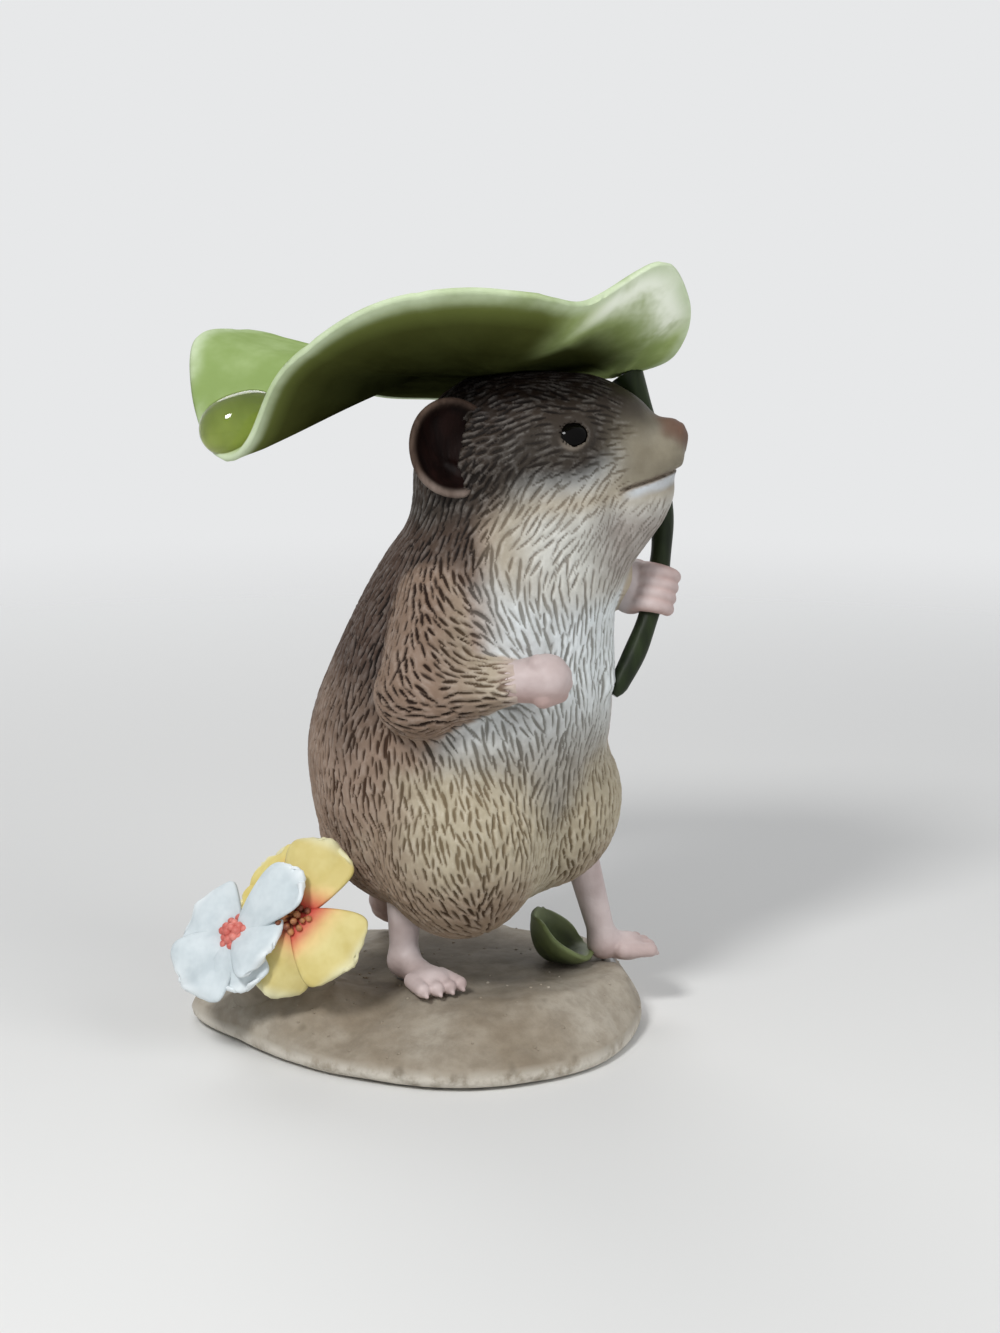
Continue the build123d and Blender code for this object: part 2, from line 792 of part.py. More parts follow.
# Curled leaf on the ground between the feet
curl_out = compass(figure_turn, curl_lean)
curl_low = ground_point(curl_place_shares, ground_z)
curl_plane = Plane(origin=curl_low, x_dir=sideways_to(curl_out), z_dir=curl_out)
with BuildPart() as curled_leaf:
    curl_rise = curl_bend_share * curl_length
    add_bowl(curl_plane, bowl_reach_share * curl_length, curl_rise, curl_thickness)
    with BuildSketch(curl_plane) as oval:
        Ellipse(curl_length / 2, curl_width / 2)
    extrude(oval.sketch, amount=curl_rise + curl_thickness + overrun, both=True, mode=Mode.INTERSECT)
    for neighbour in (ground_base.part, torso.part, left_haunch, left_foot, right_foot):
        add(neighbour, mode=Mode.SUBTRACT)

# Coat of the torso: main hair grooves in staggered rows, each cut by a thin round blade
blade_radius = (groove_length * groove_length / 4 + groove_depth * groove_depth) / (2 * groove_depth)
row_count = int((coat_high_share - coat_low_share) * torso_height / groove_step) + 1
column_count = int(math.pi * torso_width / groove_step)
blade_planes = []
for row in range(row_count):
    share = coat_low_share + row * groove_step / torso_height
    lean = table_at(torso_shares, share)[1] * torso_lean
    middle = body_point(lean, 0, torso_bottom + share * torso_height)
    for column in range(column_count):
        turn_share = (column + row % 2 / 2) / column_count
        aim = compass(turn_share * full_turn, full_turn / 4)
        hits = torso.part.find_intersection_points(Axis(middle, aim))
        place, out = max(hits, key=lambda hit: (hit[0] - middle).dot(aim))
        blade_planes.append(
            Plane(
                origin=place + out * (blade_radius - groove_depth),
                x_dir=out,
                z_dir=sideways_to(out),
            )
        )
with BuildPart() as torso_coat:
    add(torso.part)
    with Locations(*blade_planes):
        Cylinder(blade_radius, groove_width, mode=Mode.SUBTRACT)

os.makedirs("parts", exist_ok=True)
pieces = {
    "ground_base": ground_base.part,
    "felt_pad": felt_pad.part,
    "torso": torso_coat.part,
    "head": head.part,
    "neck_dowel": neck_dowel.part,
    "right_eye": right_eye,
    "left_eye": left_eye,
    "right_ear": right_ear,
    "left_ear": left_ear,
    "right_haunch": right_haunch,
    "left_haunch": left_haunch,
    "right_arm": right_arm.part,
    "right_paw": right_paw.part,
    "left_arm": left_arm.part,
    "left_paw": left_paw.part,
    "right_foot": right_foot,
    "left_foot": left_foot,
    "leg_pins": leg_pins.part,
    "tail": tail.part,
    "leaf": leaf.part,
    "leaf_stem": leaf_stem.part,
    "stem_wire": stem_wire.part,
    "dew_drop": dew_drop.part,
    "white_flower": white_flower,
    "white_flower_centre": white_flower_centre,
    "yellow_flower": yellow_flower,
    "yellow_flower_centre": yellow_flower_centre,
    "back_flower": back_flower,
    "back_flower_centre": back_flower_centre,
    "curled_leaf": curled_leaf.part,
}
for name, piece in pieces.items():
    piece.label = name
    export_step(piece, "parts/" + name + ".step")
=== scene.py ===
import math
import bpy
import numpy as np
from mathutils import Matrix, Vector
from mathutils.kdtree import KDTree


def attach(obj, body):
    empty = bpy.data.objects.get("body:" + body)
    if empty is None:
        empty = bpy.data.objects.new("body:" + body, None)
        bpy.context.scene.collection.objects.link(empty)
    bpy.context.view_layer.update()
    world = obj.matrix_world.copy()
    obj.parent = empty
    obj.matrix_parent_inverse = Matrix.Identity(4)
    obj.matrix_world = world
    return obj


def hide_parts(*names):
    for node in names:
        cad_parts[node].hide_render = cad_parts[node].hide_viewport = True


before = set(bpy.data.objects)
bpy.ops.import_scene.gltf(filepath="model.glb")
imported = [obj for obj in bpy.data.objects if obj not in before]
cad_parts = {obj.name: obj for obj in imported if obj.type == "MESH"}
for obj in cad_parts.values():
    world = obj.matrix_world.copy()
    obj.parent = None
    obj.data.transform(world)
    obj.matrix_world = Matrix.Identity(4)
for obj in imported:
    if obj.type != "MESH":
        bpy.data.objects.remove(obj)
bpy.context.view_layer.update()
print("frame:", len(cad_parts), "nodes")

figure = {"axis": (3.7, -2.3), "ground": 5.3, "headPivot": (4.82, -7.988, 53.0), "pivotAt": 8.82}
headAhead = np.array([0.6428, -0.7660, 0.0])
headLeft = np.array([0.7660, 0.6428, 0.0])


def viewPoint(right, near, z):  # right in the picture, towards the viewer, up; millimetres
    return np.array([0.70711 * (right - near), -0.70711 * (right + near), z])


def mousePoint(ahead, left, z):
    return np.array([figure["axis"][0] + left, figure["axis"][1] - ahead, z])


def headPoint(along, side, z):  # along from the nape, side to the mouse's left
    p = np.array(figure["headPivot"]) + headAhead * (along - figure["pivotAt"]) + headLeft * side
    return np.array([p[0], p[1], z])


def headFrame(p):
    d = p - np.array(figure["headPivot"])
    return d @ headAhead + figure["pivotAt"], d @ headLeft, p[:, 2]


def unit(v):
    v = np.asarray(v, float)
    return v / np.maximum(np.linalg.norm(v, axis=-1, keepdims=True), 1e-9)


def ease(low, high, x):
    t = np.clip((x - low) / (high - low), 0, 1)
    return t * t * (3 - 2 * t)


def tone(r, g, b):  # screen colour to linear
    c = np.array([r, g, b]) / 255
    return np.where(c < 0.04045, c / 12.92, ((c + 0.055) / 1.055) ** 2.4)


def rgba(r, g, b):
    return (*[float(c) for c in tone(r, g, b)], 1.0)


def lump(p, size, seed=0):  # smooth value noise, -1 to 1
    q = np.asarray(p, float) / size + seed * 17.31
    cell = np.floor(q)
    f = q - cell
    f = f * f * (3 - 2 * f)
    total = np.zeros(len(q))
    for corner in np.ndindex(2, 2, 2):
        h = np.sin((cell + corner) @ np.array([127.1, 311.7, 74.7]) + seed) * 43758.5453
        total += (h - np.floor(h)) * np.prod(np.where(corner, f, 1 - f), axis=1)
    return total * 2 - 1


def hermite(xs, cols, t):
    xs = np.asarray(xs, float)
    i = np.clip(np.searchsorted(xs, t) - 1, 0, len(xs) - 2)
    h = xs[i + 1] - xs[i]
    u = (t - xs[i]) / h
    out = []
    for col in cols:
        col = np.asarray(col, float)
        slope = np.gradient(col, xs)
        out.append(
            (2 * u**3 - 3 * u**2 + 1) * col[i]
            + (u**3 - 2 * u**2 + u) * h * slope[i]
            + (3 * u**2 - 2 * u**3) * col[i + 1]
            + (u**3 - u**2) * h * slope[i + 1]
        )
    return out


def dense(rows, count=500):
    rows = np.array(rows, float)
    t = np.linspace(rows[0, 0], rows[-1, 0], count)
    return [t] + hermite(rows[:, 0], rows[:, 1:].T, t)


# Distance fields, in millimetres
def smoothMin(a, b, k):
    h = np.clip(0.5 + 0.5 * (b - a) / k, 0, 1)
    return b + (a - b) * h - k * h * (1 - h)


def smoothMax(a, b, k):
    return -smoothMin(-a, -b, k)


def ball(p, centre, radius):
    return np.linalg.norm(p - centre, axis=1) - radius


def egg(p, centre, radii, axes=None):
    q = p - centre
    if axes is not None:
        q = q @ np.asarray(axes).T
    a = np.linalg.norm(q / radii, axis=1)
    b = np.linalg.norm(q / np.square(radii), axis=1)
    return a * (a - 1) / np.maximum(b, 1e-9)


def limb(p, a, b, ra, rb):  # rod with round ends of two sizes
    ba = b - a
    l2 = ba @ ba
    rr = ra - rb
    a2 = l2 - rr * rr
    pa = p - a
    y = pa @ ba
    z = y - l2
    x2 = np.sum(np.square(pa * l2 - np.outer(y, ba)), axis=1)
    y2, z2 = y * y * l2, z * z * l2
    k = np.sign(rr) * rr * rr * x2
    body = (np.sqrt(x2 * a2 / l2) + y * rr) / l2 - ra
    low = np.sqrt(x2 + y2) / l2 - ra
    high = np.sqrt(x2 + z2) / l2 - rb
    return np.where(np.sign(z) * a2 * z2 > k, high, np.where(np.sign(y) * a2 * y2 < k, low, body))


def chain(p, points, radii, k=0.3):
    d = None
    for i in range(len(points) - 1):
        part = limb(p, np.asarray(points[i]), np.asarray(points[i + 1]), radii[i], radii[i + 1])
        d = part if d is None else smoothMin(d, part, k)
    return d


def inBits(field, p, size=200000):
    return np.concatenate([field(p[i : i + size]) for i in range(0, len(p), size)])


def skinOf(field, low, high, cell, coarse=6):  # closed quad skin of a field
    low = np.asarray(low, float)
    blocks = np.ceil((np.asarray(high) - low) / (cell * coarse)).astype(int)
    axes = [low[i] + np.arange(blocks[i] + 1) * cell * coarse for i in range(3)]
    grid = np.stack(np.meshgrid(*axes, indexing="ij"), -1).reshape(-1, 3)
    d = inBits(field, grid).reshape(blocks + 1).astype(np.float32)
    for axis in range(3):
        at = np.arange(blocks[axis] * coarse + 1) / coarse
        i = np.minimum(at.astype(int), blocks[axis] - 1)
        f = (at - i).astype(np.float32).reshape([-1 if a == axis else 1 for a in range(3)])
        d = np.take(d, i, axis) * (1 - f) + np.take(d, i + 1, axis) * f
    near = np.argwhere(np.abs(d) < cell * coarse * 0.62)
    d[tuple(near.T)] = inBits(field, low + near * cell)
    inside = d < 0
    n = np.array(d.shape)
    count = sum(inside[x : n[0] - 1 + x, y : n[1] - 1 + y, z : n[2] - 1 + z].astype(np.int8)
                for x, y, z in np.ndindex(2, 2, 2))
    cells = np.argwhere((count > 0) & (count < 8))
    corners = [np.array(c) for c in np.ndindex(2, 2, 2)]
    values = np.stack([d[tuple((cells + c).T)] for c in corners], 1)
    total, hits = np.zeros((len(cells), 3)), np.zeros(len(cells))
    for i in range(8):
        for j in range(i + 1, 8):
            step = corners[j] - corners[i]
            if np.abs(step).sum() != 1:
                continue
            a, b = values[:, i], values[:, j]
            cross = (a < 0) != (b < 0)
            t = np.where(cross, a / np.where(cross, a - b, 1), 0)
            total += np.where(cross[:, None], corners[i] + t[:, None] * step, 0)
            hits += cross
    verts = low + (cells + total / hits[:, None]) * cell
    index = np.full(n, -1, np.int32)
    index[tuple(cells.T)] = np.arange(len(cells))
    faces = []
    for axis in range(3):
        ahead = [slice(None)] * 3
        back = [slice(None)] * 3
        ahead[axis], back[axis] = slice(1, None), slice(None, -1)
        flips = np.argwhere(inside[tuple(back)] != inside[tuple(ahead)])
        out = inside[tuple(flips.T)]
        u, v = np.zeros(3, int), np.zeros(3, int)
        u[(axis + 1) % 3], v[(axis + 2) % 3] = 1, 1
        quad = np.stack([index[tuple((flips - s).T)] for s in (u + v, v, 0 * u, u)], 1)
        faces.append(np.where(out[:, None], quad, quad[:, ::-1]))
    faces = np.concatenate(faces)
    for turn in range(2):
        d, slope = inBits(field, verts), slopeOf(field, verts)
        step = d / np.maximum(np.sum(slope**2, 1), 0.3)
        verts = verts - slope * np.clip(step, -cell, cell)[:, None]
    return verts, faces, unit(slopeOf(field, verts))


def slopeOf(field, p, gap=0.03):
    steps = gap * np.eye(3)
    return np.stack([(inBits(field, p + s) - inBits(field, p - s)) / (2 * gap) for s in steps], 1)


# Mesh building
def meshPiece(name, verts, faces, material, marks=None, normals=None):
    mesh = bpy.data.meshes.new(name)
    mesh.from_pydata((np.asarray(verts) * 0.001).tolist(), [], [list(f) for f in faces])
    for mark, values in (marks or {}).items():
        values = np.asarray(values, np.float32)
        if values.ndim == 1:
            mesh.attributes.new(mark, "FLOAT", "POINT").data.foreach_set("value", values)
        else:
            full = np.concatenate([values, np.ones((len(values), 1), np.float32)], 1)
            mesh.attributes.new(mark, "FLOAT_COLOR", "POINT").data.foreach_set("color", full.ravel())
    mesh.shade_smooth()
    mesh.materials.append(material)
    if normals is not None:
        mesh.normals_split_custom_set_from_vertices(np.asarray(normals).tolist())
    piece = bpy.data.objects.new(name, mesh)
    bpy.context.scene.collection.objects.link(piece)
    return piece


def seat(piece, slot, *nodes):
    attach(piece, "root")
    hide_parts(*nodes)


def slab(mid, thick):  # closed sheet over an open grid, thick is a grid too
    nu, nv = mid.shape[:2]
    du, dv = np.gradient(mid, axis=0), np.gradient(mid, axis=1)
    normal = unit(np.cross(du, dv))
    for i, j in ((0, 0), (0, -1), (-1, 0), (-1, -1)):
        normal[i, j] = normal[1 if i == 0 else -2, 1 if j == 0 else -2]
    half = normal * (thick / 2)[..., None]
    top, bottom = (mid + half).reshape(-1, 3), (mid - half).reshape(-1, 3)
    ids = np.arange(nu * nv).reshape(nu, nv)
    quads = np.stack([ids[:-1, :-1], ids[1:, :-1], ids[1:, 1:], ids[:-1, 1:]], -1).reshape(-1, 4)
    rim = np.concatenate([ids[0, :-1], ids[:-1, -1], ids[-1, :0:-1], ids[:0:-1, 0]])
    edge = mid.reshape(-1, 3)[rim]
    away = edge - mid.reshape(-1, 3)[inwardOf(rim, nu, nv)]
    bulge = edge + unit(away) * (thick.reshape(-1)[rim] * 0.45)[:, None]
    n = nu * nv
    ring = 2 * n + np.arange(len(rim))
    after = np.roll(np.arange(len(rim)), -1)
    sides = np.concatenate([
        np.stack([rim, ring, ring[after], rim[after]], 1)[:, ::-1],
        np.stack([ring, rim + n, rim[after] + n, ring[after]], 1)[:, ::-1],
    ])
    faces = np.concatenate([quads, quads[:, ::-1] + n, sides])
    upper = np.concatenate([np.ones(n), np.zeros(n), np.full(len(rim), 0.5)])
    return np.concatenate([top, bottom, bulge]), faces, upper, rim


def inwardOf(rim, nu, nv):
    i, j = rim // nv, rim % nv
    return np.clip(i, 1, nu - 2) * nv + np.clip(j, 1, nv - 2)


def discGrid(count):  # square grid bent to a round one
    a, b = np.meshgrid(np.linspace(-1, 1, count), np.linspace(-1, 1, count), indexing="ij")
    return a * np.sqrt(1 - b * b / 2), b * np.sqrt(1 - a * a / 2)


def ringSkin(rings):  # loops of equal count, closed by a point at both ends
    count = len(rings[0])
    verts = np.concatenate([rings[0].mean(0)[None]] + list(rings) + [rings[-1].mean(0)[None]])
    k = np.arange(count)
    after = np.roll(k, -1)
    faces = [[0, 1 + a, 1 + b] for a, b in zip(k, after)]
    for r in range(len(rings) - 1):
        low, high = 1 + r * count, 1 + (r + 1) * count
        faces += np.stack([low + k, high + k, high + after, low + after], 1).tolist()
    last = 1 + (len(rings) - 1) * count
    faces += [[len(verts) - 1, last + b, last + a] for a, b in zip(k, after)]
    return verts, faces


# Shader maths
class Wire:
    def __init__(self, tree, socket=None):
        self.tree, self.socket = tree, socket

    def make(self, kind, settings=None, ins=None, out=0):
        node = self.tree.nodes.new(kind)
        for key, value in (settings or {}).items():
            if key == "stops":
                ramp = node.color_ramp
                while len(ramp.elements) < len(value):
                    ramp.elements.new(1.0)
                for element, (at, colour) in zip(ramp.elements, value):
                    element.position, element.color = at, colour
            else:
                setattr(node, key, value)
        for key, value in (ins or {}).items():
            if isinstance(value, Wire):
                self.tree.links.new(value.socket, node.inputs[key])
            else:
                node.inputs[key].default_value = value
        return Wire(self.tree, node.outputs[out]) if node.outputs else node

    def sum(self, way, a, b):
        return self.make("ShaderNodeMath", {"operation": way}, {0: a, 1: b})

    def __add__(self, other): return self.sum("ADD", self, other)
    def __radd__(self, other): return self.sum("ADD", other, self)
    def __sub__(self, other): return self.sum("SUBTRACT", self, other)
    def __rsub__(self, other): return self.sum("SUBTRACT", other, self)
    def __mul__(self, other): return self.sum("MULTIPLY", self, other)
    def __rmul__(self, other): return self.sum("MULTIPLY", other, self)
    def __pow__(self, other): return self.sum("POWER", self, other)

    def between(self, low, high):
        return self.make("ShaderNodeMapRange", {"interpolation_type": "SMOOTHSTEP"},
                         {"Value": self, "From Min": low, "From Max": high})

    def mix(self, a, b, blend="MIX"):
        return self.make("ShaderNodeMix", {"data_type": "RGBA", "blend_type": blend}, {0: self, 6: a, 7: b}, 2)

    def mark(self, name, colour=False):
        return self.make("ShaderNodeAttribute", {"attribute_name": name}, None, 0 if colour else 2)

    def spot(self):
        return self.make("ShaderNodeTexCoord", None, None, 3)

    def noise(self, scale, detail=2.0, rough=0.5, where=None):
        return self.make("ShaderNodeTexNoise", None, {"Vector": where or self.spot(), "Scale": scale,
                         "Detail": detail, "Roughness": rough})

    def stretch(self, scale):
        return self.make("ShaderNodeMapping", None, {"Vector": self.spot(), "Scale": scale})

    def bump(self, height, strength, distance):
        return self.make("ShaderNodeBump", None, {"Height": height, "Strength": strength, "Distance": distance})


def finish(name, paint, **shader):  # paint(wire) gives the varying inputs, the rest are fixed values
    material = bpy.data.materials.new(name)
    material.use_nodes = True
    tree = material.node_tree
    tree.nodes.clear()
    wire = Wire(tree)
    ins = dict(shader)
    ins.update(paint(wire))
    surface = wire.make("ShaderNodeBsdfPrincipled", None, ins)
    wire.make("ShaderNodeOutputMaterial", None, {"Surface": surface})
    return material


# Mouse: one pelt field, cut later into torso, head, haunches and arms
torsoRows = dense([  # height, radius, lean
    (13.5, 9.5, -1), (16, 11.7, -1), (19, 12.6, -1), (23, 13.5, -0.7), (27, 13.95, -0.3), (31, 13.75, 0.55),
    (35, 12.95, 1.6), (39, 12.05, 2.9), (42, 11.3, 4.0),
    (46, 9.95, 5.4), (49, 8.4, 6.3), (53, 6.3, 7.2)])
headRows = dense([  # along, half width, half height, middle height
    (5, 8.2, 8.2, 53.0), (8, 8.75, 8.7, 53.1), (11, 8.7, 8.7, 53.15), (13.5, 8.0, 8.25, 53.4), (16, 6.8, 7.5, 53.95),
    (18.5, 5.2, 6.0, 54.5), (20.6, 4.1, 4.7, 54.4), (21.5, 3.6, 3.9, 54.3), (22.6, 3.0, 3.1, 54.4),
    (23.7, 2.0, 2.0, 54.9), (24.3, 1.0, 1.1, 55.0), (24.5, 0, 0, 55.0)])
eyeSpot = {"along": 14.33, "side": 5.63, "z": 56.3, "radius": 1.6}
mouthLine = ([18.4, 18.9, 21.7, 23.6, 25.0], [51.4, 51.6, 52.4, 53.1, 53.5])
rightArm = [(mousePoint(6.44, -8.12, 41.8), 4.0), (mousePoint(7.28, -12.04, 34.2), 3.76),
            (mousePoint(14.0, -7.42, 35.6), 1.9)]
stemTop, stemMid, stemFoot = np.array([17.62, -9.92, 61.29]), np.array([17.52, -14.99, 49.11]), np.array([10.65, -15.26, 32.29])
throat = [(headPoint(11.8, 0, 45.0), 7.0), (headPoint(19.5, 0, 50.0), 3.45)]


def stemArc(share):  # the arc through the stem's three points
    a, b, c = stemTop, stemMid, stemFoot
    ab, ac = b - a, c - a
    n = np.cross(ab, ac)
    middle = a + (np.cross(n, ab) * (ac @ ac) + np.cross(ac, n) * (ab @ ab)) / (2 * n @ n)
    e1 = unit(a - middle)
    e2 = np.cross(unit(n), e1)
    radius = np.linalg.norm(a - middle)
    full = math.atan2((c - middle) @ e2, (c - middle) @ e1) % (2 * math.pi)
    t = full * share
    return middle + radius * (e1 * math.cos(t) + e2 * math.sin(t)), unit(e2 * math.cos(t) - e1 * math.sin(t))


gripSpot, gripWay = stemArc(0.67)
leftShoulder = mousePoint(5.6, 8.4, 43.3)
gripIn = unit(np.cross(np.cross(gripSpot - leftShoulder, gripWay), gripWay))
palmSpot = gripSpot + gripIn * 2.4


def torsoField(p):
    z, radius, lean = torsoRows
    r = np.interp(p[:, 2], z, radius)
    slope = np.interp(p[:, 2], z, np.gradient(radius, z))
    out = np.hypot(p[:, 0] - figure["axis"][0], p[:, 1] - figure["axis"][1] + np.interp(p[:, 2], z, lean))
    d = (out - r) / np.sqrt(1 + slope**2)
    d = np.where(p[:, 2] < 19, egg(p, mousePoint(-1, 0, 19), (12.6, 12.6, 8.4)), d)
    return np.maximum(d, p[:, 2] - z[-1])


def headField(p):
    s, w, h, mid = headRows
    along, side, z = headFrame(p)
    halfW, halfH = np.interp(along, s, w), np.interp(along, s, h)
    up = z - np.interp(along, s, mid)
    out = np.hypot(side, up)
    k = np.sqrt((side / np.maximum(halfW, 0.05)) ** 2 + (up / np.maximum(halfH, 0.05)) ** 2)
    slope = np.interp(along, s, np.gradient(w, s))
    d = (out - out / np.maximum(k, 1e-3)) / np.sqrt(1 + slope**2)
    d = np.where(k < 0.05, -np.minimum(halfW, halfH), d)
    nape = egg(p, headPoint(8, 0, 53.1), (8.0, 8.75, 8.7), np.array([headAhead, headLeft, [0, 0, 1]]))
    return np.maximum(np.where(along < 8, nape, d), along - s[-1])


def haunchField(p, sign):
    if sign > 0:
        return egg(p, mousePoint(5.2, 5.2, 21.5), (7.8, 7.8, 8.6))
    return egg(p, mousePoint(5.6, -5.6, 19.7), (7.8, 7.8, 9.3))


def armField(p):
    a, b, c = rightArm
    return smoothMin(limb(p, a[0], b[0], a[1], b[1]), limb(p, b[0], c[0], b[1] * 0.95, c[1]), 1.0)


def leftArmField(p):
    return limb(p, leftShoulder, palmSpot, 3.6, 2.2)


def bodyField(p):
    d = smoothMin(torsoField(p), headField(p), 3.2)
    d = smoothMin(d, limb(p, throat[0][0], throat[1][0], throat[0][1], throat[1][1]), 2.2)
    return smoothMin(d, limb(p, viewPoint(16.4, 3.2, 39.0), viewPoint(17.3, 3.75, 33.6), 1.5, 1.15), 1.4)


ears = {"radius": 4.5, "deep": 2.0, "thin": 0.34, "tall": 1.1}
earPlaces = {}
for sign in (-1, 1):
    out = headLeft * (sign * 0.94) + np.array([0, 0, 0.34])
    earPlaces[sign] = (headPoint(4.4, sign * 7.4, 55.5) + out * 0.35, unit(out * 0.94 + headAhead * 0.34))


def faceField(p, d):
    d = d.copy()
    near = np.flatnonzero((p[:, 2] > 45) & (np.abs(d) < 4))
    if not len(near):
        return d
    q, e = p[near], d[near]
    along, side, z = headFrame(q)
    for sign in (-1, 1):
        e = smoothMin(e, ball(q, headPoint(14.2, sign * 5.2, 49.6), 3.0), 2.5)  # cheek
        e = smoothMin(e, ball(q, headPoint(22.4, sign * 1.35, 54.5), 1.85), 0.7)  # lip pad
        out = headLeft * (sign * 0.866) + np.array([0, 0, 0.5])
        eye = headPoint(eyeSpot["along"], sign * eyeSpot["side"], eyeSpot["z"])
        rel = q - eye
        up = rel @ out
        wide = np.hypot(rel @ headAhead / 1.25, rel @ np.cross(out, headAhead))
        e = smoothMin(e, np.hypot(wide - 1.55, up - 0.72) - 0.26, 0.45)  # lid
        e = smoothMax(e, -(np.hypot(wide, up) - 1.6), 0.12)
        e = smoothMax(e, -ball(q, headPoint(24.4, sign * 0.75, 55.75), 0.26), 0.2)  # nostril
        spot, face = earPlaces[sign]
        hollow = ball(q, spot + face * (ears["radius"] - ears["deep"]), ears["radius"] - 0.1)
        e = smoothMax(e, -np.maximum(hollow, (q - spot) @ face - 0.1), 0.15)  # bed of the ear
    e = smoothMin(e, ball(q, headPoint(23.0, 0, 56.0), 1.6), 0.7)  # nose
    e = smoothMin(e, ball(q, headPoint(21.3, 0, 51.1), 2.1), 0.9)  # chin
    line = np.interp(along, *mouthLine)
    cut = np.maximum(np.abs(z - line) - 0.12, -e - 0.34)
    cut = np.maximum(cut, 18.8 - along)
    e = smoothMax(e, -cut, 0.22)
    d[near] = e
    return d


def peltField(p):
    d = faceField(p, bodyField(p))
    for sign in (-1, 1):
        d = smoothMin(d, haunchField(p, sign), 1.5 if sign < 0 else 0.7)
    d = smoothMin(d, armField(p), 1.2)
    return smoothMin(d, leftArmField(p), 1.2)


pelt = {"cell": 0.195, "low": (-13.0, -27.0, 9.6), "high": (22.0, 13.5, 63.2), "wall": 0.9, "seed": 11}
verts, faces, normals = skinOf(peltField, pelt["low"], pelt["high"], pelt["cell"])
print("pelt skin:", len(verts), "points")

# How the hair lies: ahead, left, height, then the way it points
lieOfHair = [
    (-4, -3, 48, -0.35, 0, -1), (-8, -4, 40, -0.45, -0.1, -1), (-12, -6, 30, -0.1, 0, -1), (-11, -7, 18, 0.1, 0, -1),
    (0, -11, 42, -0.5, 0, -1), (0, -13.5, 32, -0.3, 0, -1), (-2, -13.5, 24, -0.05, 0, -1), (1, -13, 17, 0.4, 0, -1),
    (14, 0, 40, 0, 0, -1), (11, -6, 41, 0.15, 0.12, -1), (12, -8, 28, 0.25, 0.25, -1), (14, 0, 24, 0, 0, -1),
    (5.5, -10, 27, 0.2, 0.1, -1), (0, -12, 19, 0.45, 0, -1), (8, -11, 19, 0.15, 0.1, -1), (12.5, -6, 18, -0.05, -0.1, -1),
    (7, -9, 12, 0.2, 0.3, -0.6), (-9, 0, 40, -0.4, 0, -1), (-13, 0, 28, 0, 0, -1)]
lieOfArm = [(7, -12, 42.5, 0.2, -0.1, -1), (8, -15.5, 37.5, 0.3, 0.05, -1), (9.5, -15, 32.3, 0.9, 0.35, -0.3),
            (12.5, -11.5, 35.5, 0.75, 0.6, 0.0), (14.8, -8.7, 36, 0.7, 0.7, 0.1), (9.8, -9.3, 40.5, 0.55, 0.45, -0.75),
            (11.2, -11.2, 38.3, 0.7, 0.4, -0.5)]
lieOfHead = [  # along, side, height, then the way
    (22, 3, 55.5, -1, 0, -0.2), (16, 7, 58.5, -1, 0, 0), (10, 8.5, 58, -1, 0, -0.25), (14, 8, 50.5, -0.85, 0, -0.7),
    (20, 3.5, 49.5, -0.7, 0, -0.75), (14.5, 7, 46, -0.55, 0, -0.9), (7, 8.8, 50, -0.55, 0, -1), (3, 6.5, 49, -0.35, 0, -1),
    (12, 0, 61.8, -1, 0, 0), (20, 0, 59.5, -1, 0, 0.3), (19, 0, 47, -0.5, 0, -0.9), (5, 5, 59, -0.9, 0, -0.4)]
guides = []
for ahead, left, z, da, dl, dz in lieOfHair:
    for sign in (1, -1):
        guides.append((mousePoint(ahead, left * sign, z), np.array([dl * sign, -da, dz])))
guides += [(mousePoint(a, l, z), np.array([dl, -da, dz])) for a, l, z, da, dl, dz in lieOfArm]
for along, side, z, da, dl, dz in lieOfHead:
    for sign in (1, -1):
        guides.append((headPoint(along, side * sign, z), headAhead * da + headLeft * dl * sign + np.array([0, 0, dz])))
armRun = unit(palmSpot - leftShoulder)
for share in (0.25, 0.6, 0.9):
    for turn in range(4):
        side = unit(np.cross(armRun, [0, 0, 1])) * math.cos(turn * 1.57) + np.array([0, 0, 1]) * math.sin(turn * 1.57)
        guides.append((leftShoulder + (palmSpot - leftShoulder) * share + side * 2.6, armRun))

flow = np.zeros_like(verts)
for spot, way in guides:
    weight = 1 / (np.sum((verts - spot) ** 2, 1) + 1.5) ** 2.2
    flow += weight[:, None] * unit(way)
flow = unit(flow - normals * np.sum(flow * normals, 1)[:, None])
swing = 0.32 * lump(verts, 3.2, 4) + 0.2 * lump(verts, 1.4, 5)
flow = flow * np.cos(swing)[:, None] + np.cross(normals, flow) * np.sin(swing)[:, None]

# Where each kind of coat lies
along, side, headZ = headFrame(verts)
az = np.degrees(np.abs(np.arctan2(verts[:, 0] - figure["axis"][0],
                                  figure["axis"][1] - np.interp(verts[:, 2], torsoRows[0], torsoRows[2]) - verts[:, 1])))
z = verts[:, 2]
bodyGap, armGap = bodyField(verts), np.minimum(armField(verts), leftArmField(verts))
haunchGap = np.minimum(haunchField(verts, -1), haunchField(verts, 1))
onArm = ease(0.5, -0.5, armGap - bodyGap)
onHaunch = ease(0.7, -0.7, haunchGap - np.minimum(bodyGap, armGap))
neckTip = math.radians(22)
neckGap = (verts - mousePoint(5.6, 0, 46.67)) @ np.array([0, -math.sin(neckTip), math.cos(neckTip)])
onHead = ease(-2.5, 2.0, neckGap) * (1 - onArm)
patchy = lump(verts, 5.0, 1)
fine = lump(verts, 1.6, 2)
wander = 9 * patchy + 4 * fine

